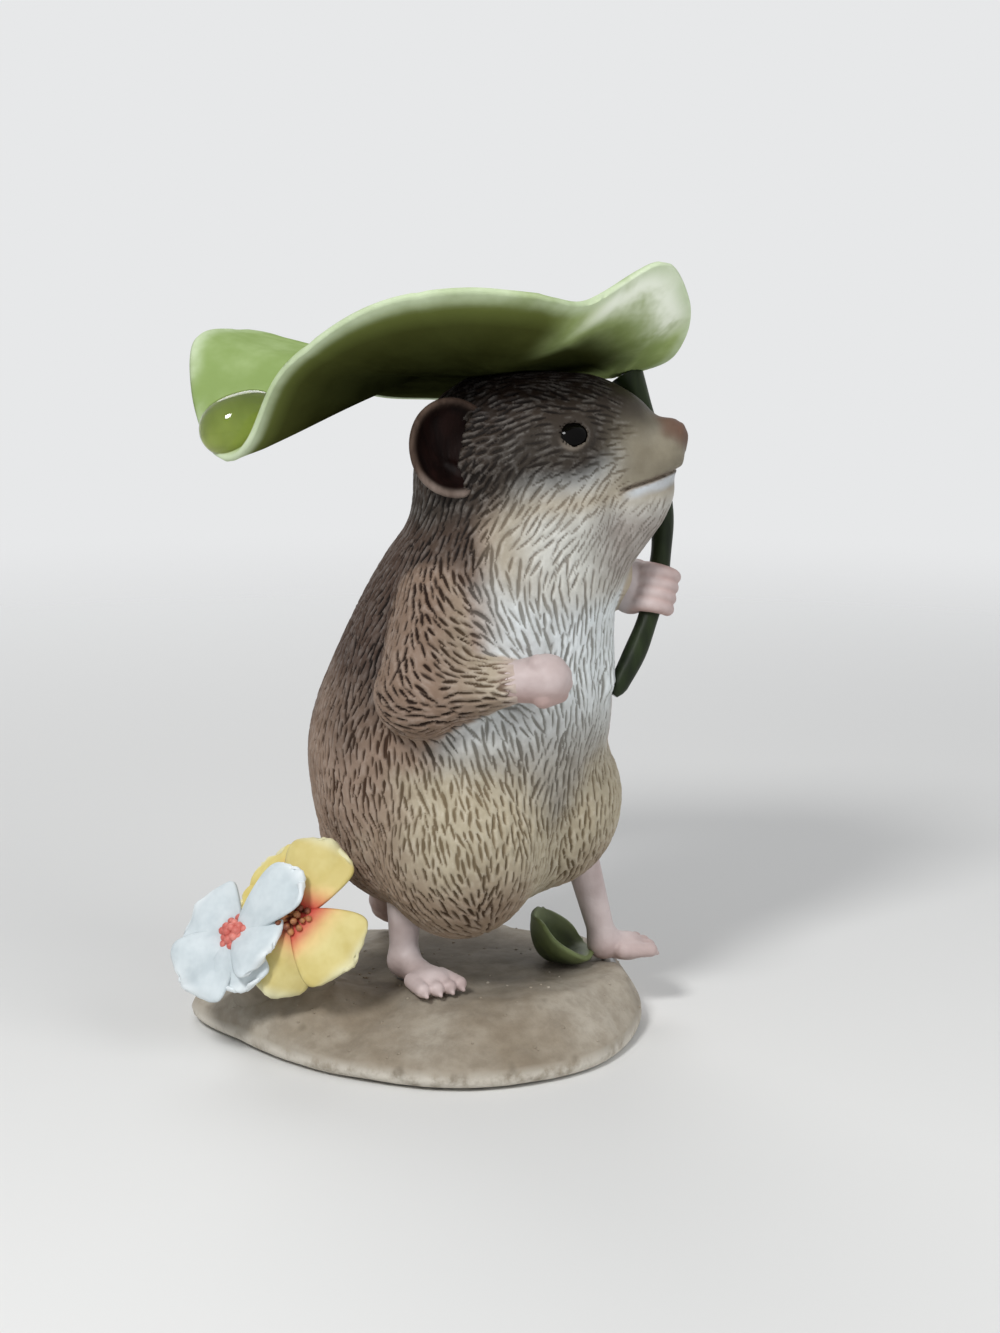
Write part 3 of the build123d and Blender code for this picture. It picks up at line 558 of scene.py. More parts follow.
coatTones = {  # hair, groove
    "back": ((80, 64, 55), (16, 8, 4)), "flank": ((154, 133, 117), (68, 50, 38)),
    "chest": ((224, 230, 231), (146, 146, 141)), "belly": ((160, 155, 145), (106, 100, 90)),
    "shoulder": ((136, 115, 99), (38, 24, 16)), "forearm": ((184, 172, 152), (100, 84, 66)),
    "haunch": ((184, 174, 151), (122, 108, 85)), "haunchLow": ((148, 128, 109), (68, 50, 36)),
    # crown and face: dark brown fur, darkened further as painted shade of the leaf over the head
    "crown": ((58, 49, 42), (18, 12, 8)), "face": ((52, 46, 40), (30, 25, 21)),
    "cheek": ((174, 165, 148), (122, 111, 95)), "throat": ((206, 206, 199), (146, 141, 132)),
    # under the chin: a greyer throat tone, darkened as painted shade beneath the chin
    "chinShade": ((156, 148, 141), (124, 116, 109)), "muzzle": ((136, 129, 112), (104, 95, 80)),
    # shade: painted shadow of the leaf on the top of the head
    "shade": ((34, 26, 21), (12, 7, 5)), "lid": ((120, 111, 101), (92, 83, 74)), "wrist": ((198, 181, 172), (150, 128, 118)),
    # lip: a pale band under the mouth line, partly pale fur and partly a painted highlight along the lower lip
    "nose": ((104, 79, 66), (78, 55, 44)), "lip": ((200, 205, 209), (180, 181, 183)),
    # along the mouth line: painted shade in the groove
    "nape": ((72, 58, 49), (18, 10, 6)), "mouthShade": ((112, 96, 85), (84, 69, 60))}
hair = np.tile(tone(*coatTones["flank"][0]), (len(verts), 1))
cut = np.tile(tone(*coatTones["flank"][1]), (len(verts), 1))


def brush(name, weight):
    global hair, cut
    weight = np.clip(weight, 0, 1)[:, None]
    hair = hair + (tone(*coatTones[name][0]) - hair) * weight
    cut = cut + (tone(*coatTones[name][1]) - cut) * weight


body = 1 - onHead
brush("back", ease(58, 84, az + wander) * ease(25, 37, z + 3 * patchy))
brush("back", 0.45 * ease(120, 150, az + wander))
brush("chest", ease(56, 32, az + wander))
brush("belly", ease(56, 30, az + wander) * ease(34, 26, z))
softHaunch = ease(3.2, -1.4, haunchGap - np.minimum(bodyGap, armGap) + 0.8 * patchy + 0.4 * fine) * ease(31, 26, z)
brush("haunch", 0.75 * ease(62, 40, az + wander) * ease(24, 18, z + patchy))
brush("haunch", softHaunch * ease(92, 46, az + 1.2 * wander))
brush("haunchLow", onHaunch * ease(21.5, 14.5, z + 2.5 * patchy - 0.09 * (az - 50)) * 0.9)
brush("haunchLow", onHaunch * ease(60, 92, az + 1.2 * wander))
brush("shoulder", onArm)
forearm = ease(0.3, 1.05, ((verts - rightArm[1][0]) @ unit(rightArm[2][0] - rightArm[1][0])) / 7.2 + 0.1 * patchy)
# the lower edge of the forearm keeps the darker shoulder tone, as painted shade under the arm
forearmUnderShade = ease(35.5, 33, z + 0.8 * fine)
brush("forearm", onArm * forearm * (1 - 0.7 * forearmUnderShade))
brush("forearm", ease(0.5, -0.5, leftArmField(verts) - bodyGap) * 0.8)
wristGap = (verts - rightArm[2][0]) @ unit(mousePoint(16.66, -4.62, 36.25) - rightArm[2][0])
atWrist = onArm * ease(6.0, 4.0, np.linalg.norm(verts - rightArm[2][0], axis=1))
brush("wrist", atWrist * ease(-1.6, 1.2, wristGap + 0.5 * fine))
brush("nape", onHead * ease(8.5, 5.0, along + 0.8 * patchy))
brush("cheek", onHead * ease(5.5, 9.5, along + 0.6 * patchy) * ease(55, 50.5, headZ + 0.25 * (14 - along) + patchy))
# upper face and crown: dark fur plus painted shade, darker towards the top of the head where the leaf shades it
brush("face", onHead * ease(50.8, 54.6, headZ + 0.34 * (14 - along) + 0.8 * patchy))
brush("crown", onHead * ease(56.4, 60.0, headZ + 0.22 * (15 - along) + 0.9 * patchy))
brush("crown", onHead * ease(9.5, 5.5, along) * ease(48, 52, headZ) * 0.9)
brush("throat", onHead * ease(8.5, 13, along + patchy) * ease(51.6, 49.2, headZ - 0.1 * (along - 18) + 0.5 * patchy))
brush("muzzle", onHead * ease(16.5, 20.5, along) * ease(51, 52.5, headZ) * ease(59.8, 55.2, headZ + 0.5 * fine))
# painted shade under the chin, on a greyer throat tone
brush("chinShade", onHead * ease(15.5, 19, along + 0.1 * (headZ - 47)) * ease(51.2, 48, headZ) * 0.9)
# painted shadow of the leaf, near black on the top of the head
brush("shade", onHead * ease(57.6, 60.6, headZ + 0.16 * (14 - along) + 0.7 * patchy))
for sign in (-1, 1):
    gap = np.linalg.norm(verts - headPoint(eyeSpot["along"], sign * eyeSpot["side"], eyeSpot["z"]), axis=1)
    brush("lid", 0.8 * ease(2.15, 1.9, gap) * ease(57.4, 55.4, headZ - 0.5 * (along - 14.3)))
nearNose = np.linalg.norm(verts - headPoint(23.2, 0, 56.2), axis=1)
brush("nose", onHead * ease(2.9, 1.3, nearNose + 0.4 * fine))
mouthGap = headZ - np.interp(along, *mouthLine)
# painted highlight along the lower lip, on pale lip fur
brush("lip", onHead * ease(18.6, 20.4, along) * ease(-1.5, -0.7, mouthGap + 0.2 * fine) * ease(-0.05, -0.4, mouthGap))
# painted shade along the groove of the mouth
brush("mouthShade", onHead * ease(18.4, 19.8, along) * ease(0.42, 0.1, np.abs(mouthGap)) * 0.55)
print("coat laid out")

# Hair grooves: strokes spread over the skin, each pressed in along the flow
isFace = onHead * ease(12.5, 15, along + 0.35 * (headZ - 50))
isChest = np.maximum(ease(56, 34, az) * (1 - onHaunch) * (1 - onArm), onHead * ease(52, 49, headZ))
bare = np.maximum.reduce([onHead * ease(20.8, 22.6, along + 0.5 * (headZ - 53)), onHead * ease(18.6, 20.5, along) * ease(-2.6, -1.4, mouthGap)])
for sign in (-1, 1):
    eye = headPoint(eyeSpot["along"], sign * eyeSpot["side"], eyeSpot["z"])
    bare = np.maximum(bare, ease(2.6, 2.1, np.linalg.norm(verts - eye, axis=1)))
bare = np.maximum.reduce([bare, ease(3.6, 2.6, np.linalg.norm(verts - palmSpot, axis=1)), atWrist * ease(-0.6, 1.2, wristGap)])
coat = {"low": 16.71, "step": 4.1, "around": 21, "long": 1.4, "wide": 0.27}
strokes = {"apart": 1.16, "beside": 0.5, "half": 0.86, "wide": 0.21, "deep": 0.26}
apart = strokes["apart"] * (1 + 0.2 * isChest) * (1 - 0.12 * isFace)
beside = strokes["beside"] * (1 + 0.08 * isFace)
halfLong = strokes["half"] * (1 + 0.35 * isChest) * (1 - 0.12 * isFace)
halfWide = strokes["wide"] * (1 - 0.06 * isChest) * (1 - 0.1 * isFace)
deep = strokes["deep"] * (1 - 0.25 * isChest) * (1 - 0.7 * isFace) * (1 - bare)

rng = np.random.default_rng(pelt["seed"])
tree = KDTree(len(verts))
for i, v in enumerate(verts):
    tree.insert(v, i)
tree.balance()
mainStrokes = []
for row in range(7):  # the rows of grooves that the solid has too
    rowZ = coat["low"] + row * coat["step"]
    radius, lean = [np.interp(rowZ, torsoRows[0], c) for c in torsoRows[1:]]
    for column in range(coat["around"]):
        turn = 2 * math.pi * (column + row % 2 / 2) / coat["around"]
        spot, i, gap = tree.find(mousePoint(lean, 0, rowZ) + radius * np.array([math.cos(turn), math.sin(turn), 0]))
        if gap < 0.8 and onArm[i] < 0.5 and onHaunch[i] < 0.5:
            mainStrokes.append(i)
tries = np.concatenate([mainStrokes, rng.choice(len(verts), 34000, replace=False)]).astype(int)
near = KDTree(len(tries))
for n, i in enumerate(tries):
    near.insert(verts[i], n)
near.balance()
rank = rng.random(len(tries))
rank[: len(mainStrokes)] -= 1
pairA, pairB = [], []
for n, i in enumerate(tries):
    for spot, m, gap in near.find_range(verts[i], float(apart[i])):
        if m != n and rank[m] < rank[n]:
            pairA.append(n)
            pairB.append(m)
pairA, pairB = np.array(pairA), np.array(pairB)
gap = verts[tries[pairA]] - verts[tries[pairB]]
lie = unit(flow[tries[pairA]] + flow[tries[pairB]])
run = np.sum(gap * lie, 1)
off = np.linalg.norm(gap - lie * run[:, None], axis=1)
clash = (run / apart[tries[pairA]]) ** 2 + (off / beside[tries[pairA]]) ** 2 < 1
pairA, pairB = pairA[clash], pairB[clash]
state = np.zeros(len(tries), int)  # 1 kept, -1 dropped
while (state == 0).any():
    live = (state[pairA] == 0) & (state[pairB] == 0)
    held = np.zeros(len(tries), bool)
    held[pairA[live]] = True
    state[(state == 0) & ~held] = 1
    state[pairA[(state[pairB] == 1) & (state[pairA] == 0)]] = -1
kept = tries[state == 1]
kept = kept[bare[kept] < 0.75]

main = set(mainStrokes)
groove = np.zeros(len(verts))
lift = np.zeros(len(verts))
for i in kept:
    long, wide = halfLong[i] * rng.uniform(0.7, 1.3), halfWide[i] * rng.uniform(0.75, 1.25)
    if int(i) in main:
        long, wide = coat["long"], coat["wide"]
    swing, bend = rng.normal(0, 0.13), rng.normal(0, 0.10)
    near = np.array([m for spot, m, gap in tree.find_range(verts[i], float(long) * 1.05)])
    side = np.cross(normals[i], flow[i])
    way = flow[i] * math.cos(swing) + side * math.sin(swing)
    side = np.cross(normals[i], way)
    rel = verts[near] - verts[i]
    u = rel @ way / long
    w = rel @ side - bend * (u * long) ** 2 * 0.5
    taper = np.clip(1 - u * u, 0, 1)
    half = wide * np.sqrt(taper) * (1 - 0.3 * u) + 1e-4
    g = np.clip(1.15 - np.abs(w) / half, 0, 1)
    g = g * g * (3 - 2 * g) * taper**0.35 * rng.uniform(0.7, 1.0)
    groove[near] = np.maximum(groove[near], g * (1.25 if int(i) in main else 1))
    l = np.exp(-((np.abs(w) - 1.5 * wide) / (0.6 * wide)) ** 2) * taper
    lift[near] = np.maximum(lift[near], l)
print("hair strokes:", len(kept))
verts = verts + normals * (deep * (0.28 * lift * (1 - groove) - groove) + 0.06 * patchy * (1 - bare))[:, None]

# Labels and closed pieces
middle = verts[faces].mean(1)
gaps = np.stack([bodyField(middle) - 0.25, haunchField(middle, -1), haunchField(middle, 1), armField(middle), leftArmField(middle)])
label = gaps.argmin(0)
faceNeck = (middle - mousePoint(5.6, 0, 46.67)) @ np.array([0, -math.sin(neckTip), math.cos(neckTip)])
sliver = (gaps[4] - gaps[0] < 0.9) & (faceNeck > -0.9)  # the thin end of the torso between arm and head
label = np.where((label == 0) & ((faceNeck > 0) | sliver), 5, label)
turn1 = verts[faces[:, 2]] - verts[faces[:, 0]]
turn2 = verts[faces[:, 3]] - verts[faces[:, 1]]
faceNormals = np.cross(turn1, turn2)
vertNormals = np.zeros_like(verts)
for k in range(4):
    np.add.at(vertNormals, faces[:, k], faceNormals)
vertNormals = unit(vertNormals)


def furPaint(wire):
    groove = wire.mark("groove")
    speckle = wire.noise(900, 3, 0.6)
    shade = wire.noise(160, 3, 0.6)
    hairTone = (shade * 0.55 + speckle * 0.45).between(0.3, 0.7).mix(
        wire.make("ShaderNodeMix", {"data_type": "RGBA", "blend_type": "MULTIPLY"}, {0: 1.0, 6: wire.mark("hair", True), 7: (0.78, 0.76, 0.74, 1)}, 2),
        wire.mark("hair", True))
    dry = (wire.mark("lift") * speckle.between(0.42, 0.62)) * 0.35
    ridge = dry.mix(hairTone, wire.make("ShaderNodeMix", {"data_type": "RGBA", "blend_type": "SCREEN"}, {0: 0.5, 6: wire.mark("hair", True), 7: (0.5, 0.48, 0.45, 1)}, 2))
    colour = groove.between(0.12, 0.72).mix(ridge, wire.mark("cut", True))
    return {"Base Color": colour, "Roughness": 0.5 + groove * 0.3, "Normal": wire.bump(speckle, 0.25, 0.0002)}


furCoat = finish("mouseFur", furPaint, **{"IOR": 1.45, "Specular IOR Level": 0.22})
pelts = {0: ("torso", "fur"), 1: ("right_haunch", "belly_fur"), 2: ("left_haunch", "belly_fur"),
         3: ("right_arm", "fur"), 4: ("left_arm", "belly_fur"), 5: ("head", "fur")}
for number, (node, slot) in pelts.items():
    mine = faces[label == number]
    used, flat = np.unique(mine, return_inverse=True)
    mine = flat.reshape(-1, 4)
    edges = np.concatenate([mine[:, [k, (k + 1) % 4]] for k in range(4)])
    code = edges[:, 0].astype(np.int64) * len(used) + edges[:, 1]
    back = edges[:, 1].astype(np.int64) * len(used) + edges[:, 0]
    rim = edges[~np.isin(code, back)]
    onward = {}
    for a, b in rim:
        onward.setdefault(int(a), []).append(int(b))
    own, ownNormals = verts[used], vertNormals[used]
    sunk, sunkRows, caps = [], [], []
    while onward:
        start = next(iter(onward))
        loop, here = [start], onward[start].pop()
        if not onward[start]:
            del onward[start]
        while here != start and here in onward:
            loop.append(here)
            after = onward[here].pop()
            if not onward[here]:
                del onward[here]
            here = after
        ring = len(used) + len(sunk)  # the wall drops straight in before it closes on the hub
        hub = ring + len(loop)
        inner = own[loop] - pelt["wall"] * ownNormals[loop]
        sunk += [*inner, inner.mean(0)]
        sunkRows += loop + loop[:1]
        for k in range(len(loop)):
            n = (k + 1) % len(loop)
            caps += [[loop[n], loop[k], ring + k, ring + n], [hub, ring + n, ring + k]]
    rows = np.concatenate([used, used[sunkRows]])
    allVerts = np.concatenate([own, sunk])
    marks = {"hair": hair[rows], "cut": cut[rows], "groove": groove[rows] * (1 - bare[rows] * 0.6), "lift": lift[rows]}
    piece = meshPiece(node + "_fur", allVerts, mine.tolist() + caps, furCoat, marks, vertNormals[rows])
    seat(piece, slot, node)
print("pelt pieces made")

# Eyes: black beads, wider than tall
eyeGloss = finish("beadEye", lambda w: {"Base Color": w.noise(300).between(0.3, 0.8).mix(rgba(3, 2, 2), rgba(10, 8, 7))},
                  **{"Roughness": 0.05, "Specular IOR Level": 0.08})
for node, sign in (("right_eye", -1), ("left_eye", 1)):
    eye = headPoint(eyeSpot["along"], sign * eyeSpot["side"], eyeSpot["z"])
    out = headLeft * (sign * 0.866) + np.array([0, 0, 0.5])
    axes = np.array([headAhead, np.cross(out, headAhead), out])
    ev, ef, en = skinOf(lambda p: egg(p, eye, (1.98, 1.56, 1.6), axes), eye - 2.6, eye + 2.6, 0.12, 4)
    seat(meshPiece(node + "_bead", ev, ef, eyeGloss), "eye", node)


# Ears: thin cups with a fold inside
def earPaint(wire):
    streak = wire.noise(500, 3, 0.6, wire.stretch((1, 1, 0.35)))
    # inside the cup: dark reddish-brown darkened almost to black, as painted shade in the hollow
    inside = streak.between(0.35, 0.7).mix(rgba(10, 4, 3), rgba(26, 12, 9))
    dark = streak.between(0.35, 0.65).mix(rgba(58, 45, 38), rgba(92, 76, 66))
    # painted highlight: the paler lower rim of the ear
    pale = streak.between(0.35, 0.65).mix(rgba(98, 84, 76), rgba(130, 116, 107))
    colour = wire.mark("edge").mix(inside, wire.mark("low").mix(dark, pale))
    return {"Base Color": colour, "Roughness": 0.5 + 0.2 * streak, "Normal": wire.bump(streak, 0.5, 0.0004)}


earSkin = finish("earSkin", earPaint, **{"Specular IOR Level": 0.1})
for node, sign in (("right_ear", -1), ("left_ear", 1)):
    spot, face = earPlaces[sign]
    upEar = unit(np.array([0, 0, 1]) - face * face[2])
    sideEar = np.cross(upEar, face)
    h = -ears["radius"] + ears["deep"]
    w = math.sqrt(ears["radius"] ** 2 - h * h)

    def earField(p):
        rel = p - spot - face * (ears["radius"] - ears["deep"])
        flat = np.hypot(rel @ sideEar, (rel @ upEar) / ears["tall"])
        up = rel @ face + 0.35 * lump(p, 2.5, 6)
        shell = np.where(h * flat < w * up, np.hypot(flat - w, up - h), np.abs(np.hypot(flat, up) - ears["radius"])) - ears["thin"]
        ahead = sideEar * (1 if sideEar @ headAhead > 0 else -1)
        fold = chain(p, [spot + ahead * 2.3 - upEar * 1.6 - face * 1.3, spot + ahead * 0.9 - upEar * 1.9 - face * 1.5,
                         spot - ahead * 0.2 - upEar * 1.2 - face * 1.6], [0.5, 0.55, 0.3])
        return smoothMin(shell, fold, 0.5)

    ev, ef, en = skinOf(earField, spot - 6.5, spot + 6.5, 0.16, 4)
    rel = ev - spot
    flat = np.hypot(rel @ sideEar, (rel @ upEar) / ears["tall"])
    edge = np.clip(ease(w - 0.55, w + 0.2, flat) + ease(-0.2, -0.9, en @ face), 0, 1)
    # lower part of the ear, where the painted highlight goes
    low = ease(-1.6, -3.2, rel @ upEar)
    seat(meshPiece(node + "_cup", ev, ef, earSkin, {"edge": edge, "low": low}), "fur", node)
print("ears made")


# Bare skin: paws, feet and tail
def skinPaint(wire):
    cloud = wire.noise(220, 3, 0.6)
    crease = wire.noise(1300, 2, 0.6)
    warm = wire.mark("warm")
    pale = cloud.between(0.3, 0.7).mix(rgba(184, 170, 168), rgba(206, 196, 195))
    pink = cloud.between(0.3, 0.7).mix(rgba(168, 136, 128), rgba(192, 162, 154))
    colour = wire.mark("fold").mix(warm.mix(pale, pink), rgba(118, 84, 76))
    return {"Base Color": colour, "Roughness": 0.42 + 0.2 * cloud, "Normal": wire.bump(crease, 0.25, 0.00025)}


pawSkin = finish("pawSkin", skinPaint, **{"Specular IOR Level": 0.4})


def skinPiece(name, node, field, low, high, cell, warm, fold=None, slot="skin"):
    sv, sf, sn = skinOf(field, low, high, cell, 4)
    deepIn = fold(sv) if fold else np.zeros(len(sv))
    seat(meshPiece(name, sv, sf, pawSkin, {"warm": warm(sv), "fold": deepIn}), slot, node)


wrist, pawTip = rightArm[2][0], mousePoint(16.66, -4.62, 36.25)
pawRun = unit(pawTip - wrist)
pawSide = unit(np.cross(pawRun, [0, 0, 1]))
pawUp = np.cross(pawSide, pawRun)
pawFingers = [(pawTip + pawUp * ((n - 1.5) * 0.98 - 0.2) + pawSide * 0.8 - pawRun * 1.3,
               pawTip + pawUp * ((n - 1.5) * 0.86 - 0.5) + pawRun * (0.75 - 0.26 * (n - 1.5) ** 2) - pawSide * 0.2) for n in range(4)]


def rightPawField(p):
    d = limb(p, wrist + pawRun * 0.2, pawTip - pawRun * 0.8 - pawUp * 0.2, 1.8, 2.2)
    for a, b in pawFingers:
        d = smoothMin(d, limb(p, a, b, 0.95, 0.78), 0.28)
    return d


skinPiece("right_paw_skin", "right_paw", rightPawField, wrist - 5, pawTip + 5, 0.13, lambda v: 0.25 + 0.5 * ease(36, 34, v[:, 2]))

fist = {"fingers": 4, "step": 1.02, "thick": 0.64, "stem": 1.0}
fistSide = np.cross(gripWay, gripIn)
toViewer = viewPoint(0, 1, 0)
turnSign = 1 if (fistSide @ toViewer) > 0 else -1
fingerLines = []
for n in range(fist["fingers"]):
    mid = gripSpot + gripWay * (n - 1.5) * fist["step"]
    reach = fist["stem"] + fist["thick"] * 0.75
    line = []
    for angle in np.linspace(10, 205, 12):
        a = math.radians(angle)
        line.append(mid + (gripIn * math.cos(a) + fistSide * (turnSign * math.sin(a))) * reach * (1.25 if angle < 30 else 1))
    fingerLines.append(line)


def leftPawField(p):
    d = egg(p, palmSpot - gripIn * 0.2, (2.2, 2.2, 2.6), np.array([gripIn, fistSide, gripWay]))
    for line in fingerLines:
        d = smoothMin(d, chain(p, line, np.linspace(0.78, 0.52, 12)), 0.2)
    return d


skinPiece("left_paw_skin", "left_paw", leftPawField, gripSpot - 7, gripSpot + 7, 0.13,
          lambda v: ease(2.6, 1.6, np.linalg.norm(np.cross(v - gripSpot, gripWay), axis=1)))


def footPiece(node, knee, ankle, toe, warmth):
    ground = figure["ground"]
    heel = np.array([ankle[0], ankle[1], ground + 1.5])
    tip = np.array([toe[0], toe[1], ground + 1.15])
    run = unit((tip - heel) * [1, 1, 0])
    across = np.cross([0, 0, 1], run)
    toes = []
    for n in range(4):
        off = n - 1.5
        a = tip + across * off * 1.0 - run * 1.2
        b = a + run * (3.1 - 0.3 * abs(off)) + across * off * 0.28 + np.array([0, 0, -0.1])
        c = b + run * 0.75 + np.array([0, 0, -0.42])
        toes.append((a, b, c))
    spur = (heel + across * 1.2 + [0, 0, -0.3], heel + across * 1.9 + run * 1.3 + np.array([0, 0, -0.75]))

    def field(p):
        d = limb(p, ankle, knee, 1.25, 1.65)
        d = smoothMin(d, limb(p, heel, tip, 1.35, 1.15), 1.2)
        d = smoothMin(d, egg(p, tip - run * 0.2 - [0, 0, 0.1], (1.5, 2.2, 1.15), np.array([run, across, [0, 0, 1]])), 0.8)
        d = smoothMin(d, limb(p, spur[0], spur[1], 0.7, 0.5), 0.5)
        for a, b, c in toes:
            d = smoothMin(d, limb(p, a, b, 0.78, 0.68), 0.3)
            d = smoothMin(d, limb(p, b, c, 0.5, 0.18), 0.15)
        return smoothMax(d, ground - 0.35 - p[:, 2], 0.2)

    low = np.minimum.reduce([knee, ankle, toe]) - [4.5, 4.5, 3]
    high = np.maximum.reduce([knee, ankle, toe]) + [4.5, 4.5, 3]
    low[2], high[2] = ground - 0.6, knee[2] + 2.6
    skinPiece(node + "_skin", node, field, low, high, 0.13, lambda v: warmth + 0.35 * ease(8.5, 6.0, v[:, 2]) * (1 - warmth))


footPiece("right_foot", mousePoint(0, -7.28, 13.27), mousePoint(-0.28, -7.14, 7.28), mousePoint(5.04, -8.4, 6.6), 0.12)
footPiece("left_foot", mousePoint(7.68, 8.39, 15.97), mousePoint(9.1, 10.22, 7.28), mousePoint(10.22, 12.6, 6.6), 0.2)

tailRows = [(0.0, -0.12, 1.62, 1.0), (0.02, 0.10, 1.18, 0.96), (0.08, 0.26, 0.70, 0.90), (0.22, 0.38, 0.33, 0.82),
            (0.42, 0.41, 0.16, 0.72), (0.64, 0.33, 0.12, 0.60), (0.84, 0.17, 0.11, 0.46), (1.0, -0.02, 0.09, 0.34)]
tailSteps = np.linspace(0, 7, 29)
tailLine = np.stack(hermite(np.arange(8), np.array(tailRows).T, tailSteps), 1)
tailRoot = mousePoint(-0.62 * 14, 0, figure["ground"])
tailPoints = [tailRoot + np.array([a * 13, b * 13, max(c * 5.5, 0.28 + 1.1 * g)]) for a, b, c, g in tailLine]
tailRadii = [1.5 * g * (1 + 0.05 * (n % 2)) for n, (a, b, c, g) in enumerate(tailLine)]
tailBox = np.array(tailPoints)
skinPiece("tail_skin", "tail", lambda p: chain(p, tailPoints, tailRadii, 0.12), tailBox.min(0) - 2.2, tailBox.max(0) + 2.2, 0.17,
          lambda v: np.full(len(v), 0.75))
print("skin pieces made")

# Leaf: a polar sheet, by the way round, reach, rim height, how late the rim turns up
leaf = {"middle": (2.76, 0.5), "low": 61.9, "thick": 1.05, "count": 176, "soft": 0.1}
leafRows = np.array([
    (0, 22.0, 65.0, 2.6), (14, 22.6, 68.6, 2.6), (27, 22.2, 71.8, 2.5), (50, 19, 68.3, 2.5), (65, 19.4, 69.2, 2.6),
    (82, 17.5, 69.8, 2.6), (105, 17.5, 68.5, 2.6), (125, 18, 65.2, 2.3), (140, 18.5, 61.5, 1.6), (152, 19, 56.0, 1.15),
    (162, 19.6, 54.4, 1.1), (172, 21, 55.3, 1.1), (182, 22.6, 59.5, 1.5), (192, 23.4, 63.8, 2.4), (205, 21.5, 64.6, 3.0),
    (220, 18.8, 63.2, 2.6), (240, 17.5, 59.0, 1.5), (265, 17.5, 57.8, 1.4), (290, 18, 58.2, 1.4), (320, 20, 60.6, 1.6),
    (339, 18.5, 61.0, 2.0), (350, 21, 62.6, 2.4)])


def roundTable(rows, angle):
    wide = np.concatenate([rows[-3:] - [360, 0, 0, 0], rows, rows[:3] + [360, 0, 0, 0]])
    return hermite(wide[:, 0], wide[:, 1:].T, angle)


def leafSheet(a, b):
    rho = np.clip(np.hypot(a, b), 0, 1)
    angle = np.degrees(np.arctan2(b, a)) % 360
    reach, rim, late = roundTable(leafRows, angle)
    r = leaf["middle"][0] + reach * rho * np.cos(np.radians(angle))
    t = leaf["middle"][1] + reach * rho * np.sin(np.radians(angle))
    soft = (np.sqrt(rho**2 + leaf["soft"] ** 2) - leaf["soft"]) / (math.sqrt(1 + leaf["soft"] ** 2) - leaf["soft"])
    drop = leaf["low"] + (rim - leaf["low"]) * soft ** np.maximum(late, 1.0)
    roll = ease(34, 12, np.abs((angle - 22 + 180) % 360 - 180)) * np.clip((rho - 0.6) / 0.4, 0, 1) ** 1.6
    t, drop = t - 3.0 * roll, drop - 0.5 * roll
    sheet = np.stack([0.70711 * (r - t), -0.70711 * (r + t), drop], -1)
    ripple = 0.22 * lump(sheet.reshape(-1, 3), 6.5, 8).reshape(a.shape) * rho**2
    return sheet + np.stack([0 * ripple, 0 * ripple, ripple], -1), rho, angle


a, b = discGrid(leaf["count"])
sheet, rho, angle = leafSheet(a, b)
thick = leaf["thick"] * (1 - 0.45 * ease(0.86, 1.0, rho))
lv, lf, upper, rim = slab(sheet, thick)
if (np.cross(sheet[90, 88] - sheet[88, 88], sheet[88, 90] - sheet[88, 88]))[2] < 0:
    lf = lf[:, ::-1]
    upper = 1 - upper
rhoAll = np.concatenate([rho.ravel(), rho.ravel(), rho.ravel()[rim]])
angleAll = np.concatenate([angle.ravel(), angle.ravel(), angle.ravel()[rim]])
veins = np.zeros(len(lv))
petiole = np.array(leaf["middle"]) + 17 * np.array([math.cos(math.radians(339)), math.sin(math.radians(339))])
flatR = 0.70711 * (lv[:, 0] - lv[:, 1])
flatT = -0.70711 * (lv[:, 0] + lv[:, 1])
for aim in (25, 62, 95, 128, 165, 205, 240, 280, 312):
    reach = roundTable(leafRows, np.array([float(aim)]))[0][0]
    end = np.array(leaf["middle"]) + reach * np.array([math.cos(math.radians(aim)), math.sin(math.radians(aim))])
    ray = end - petiole
    share = np.clip(((flatR - petiole[0]) * ray[0] + (flatT - petiole[1]) * ray[1]) / (ray @ ray), 0, 1)
    bow = 1.2 * np.sin(share * math.pi) * (1 if aim < 165 else -1)
    off = np.abs((flatR - petiole[0]) * ray[1] - (flatT - petiole[1]) * ray[0]) / np.linalg.norm(ray)
    gapV = np.hypot(flatR - petiole[0] - ray[0] * share, flatT - petiole[1] - ray[1] * share)
    veins = np.maximum(veins, ease(0.75, 0.15, gapV) * (1 - 0.6 * share))
lv = lv + np.stack([0 * veins, 0 * veins, -0.16 * veins], 1)
# painted highlight: white glare on the top of the right lobe's outer face
pale = ease(0.76, 0.92, rhoAll) * ease(24, 12, np.abs((angleAll - 26 + 180) % 360 - 180)) * (1 - upper)


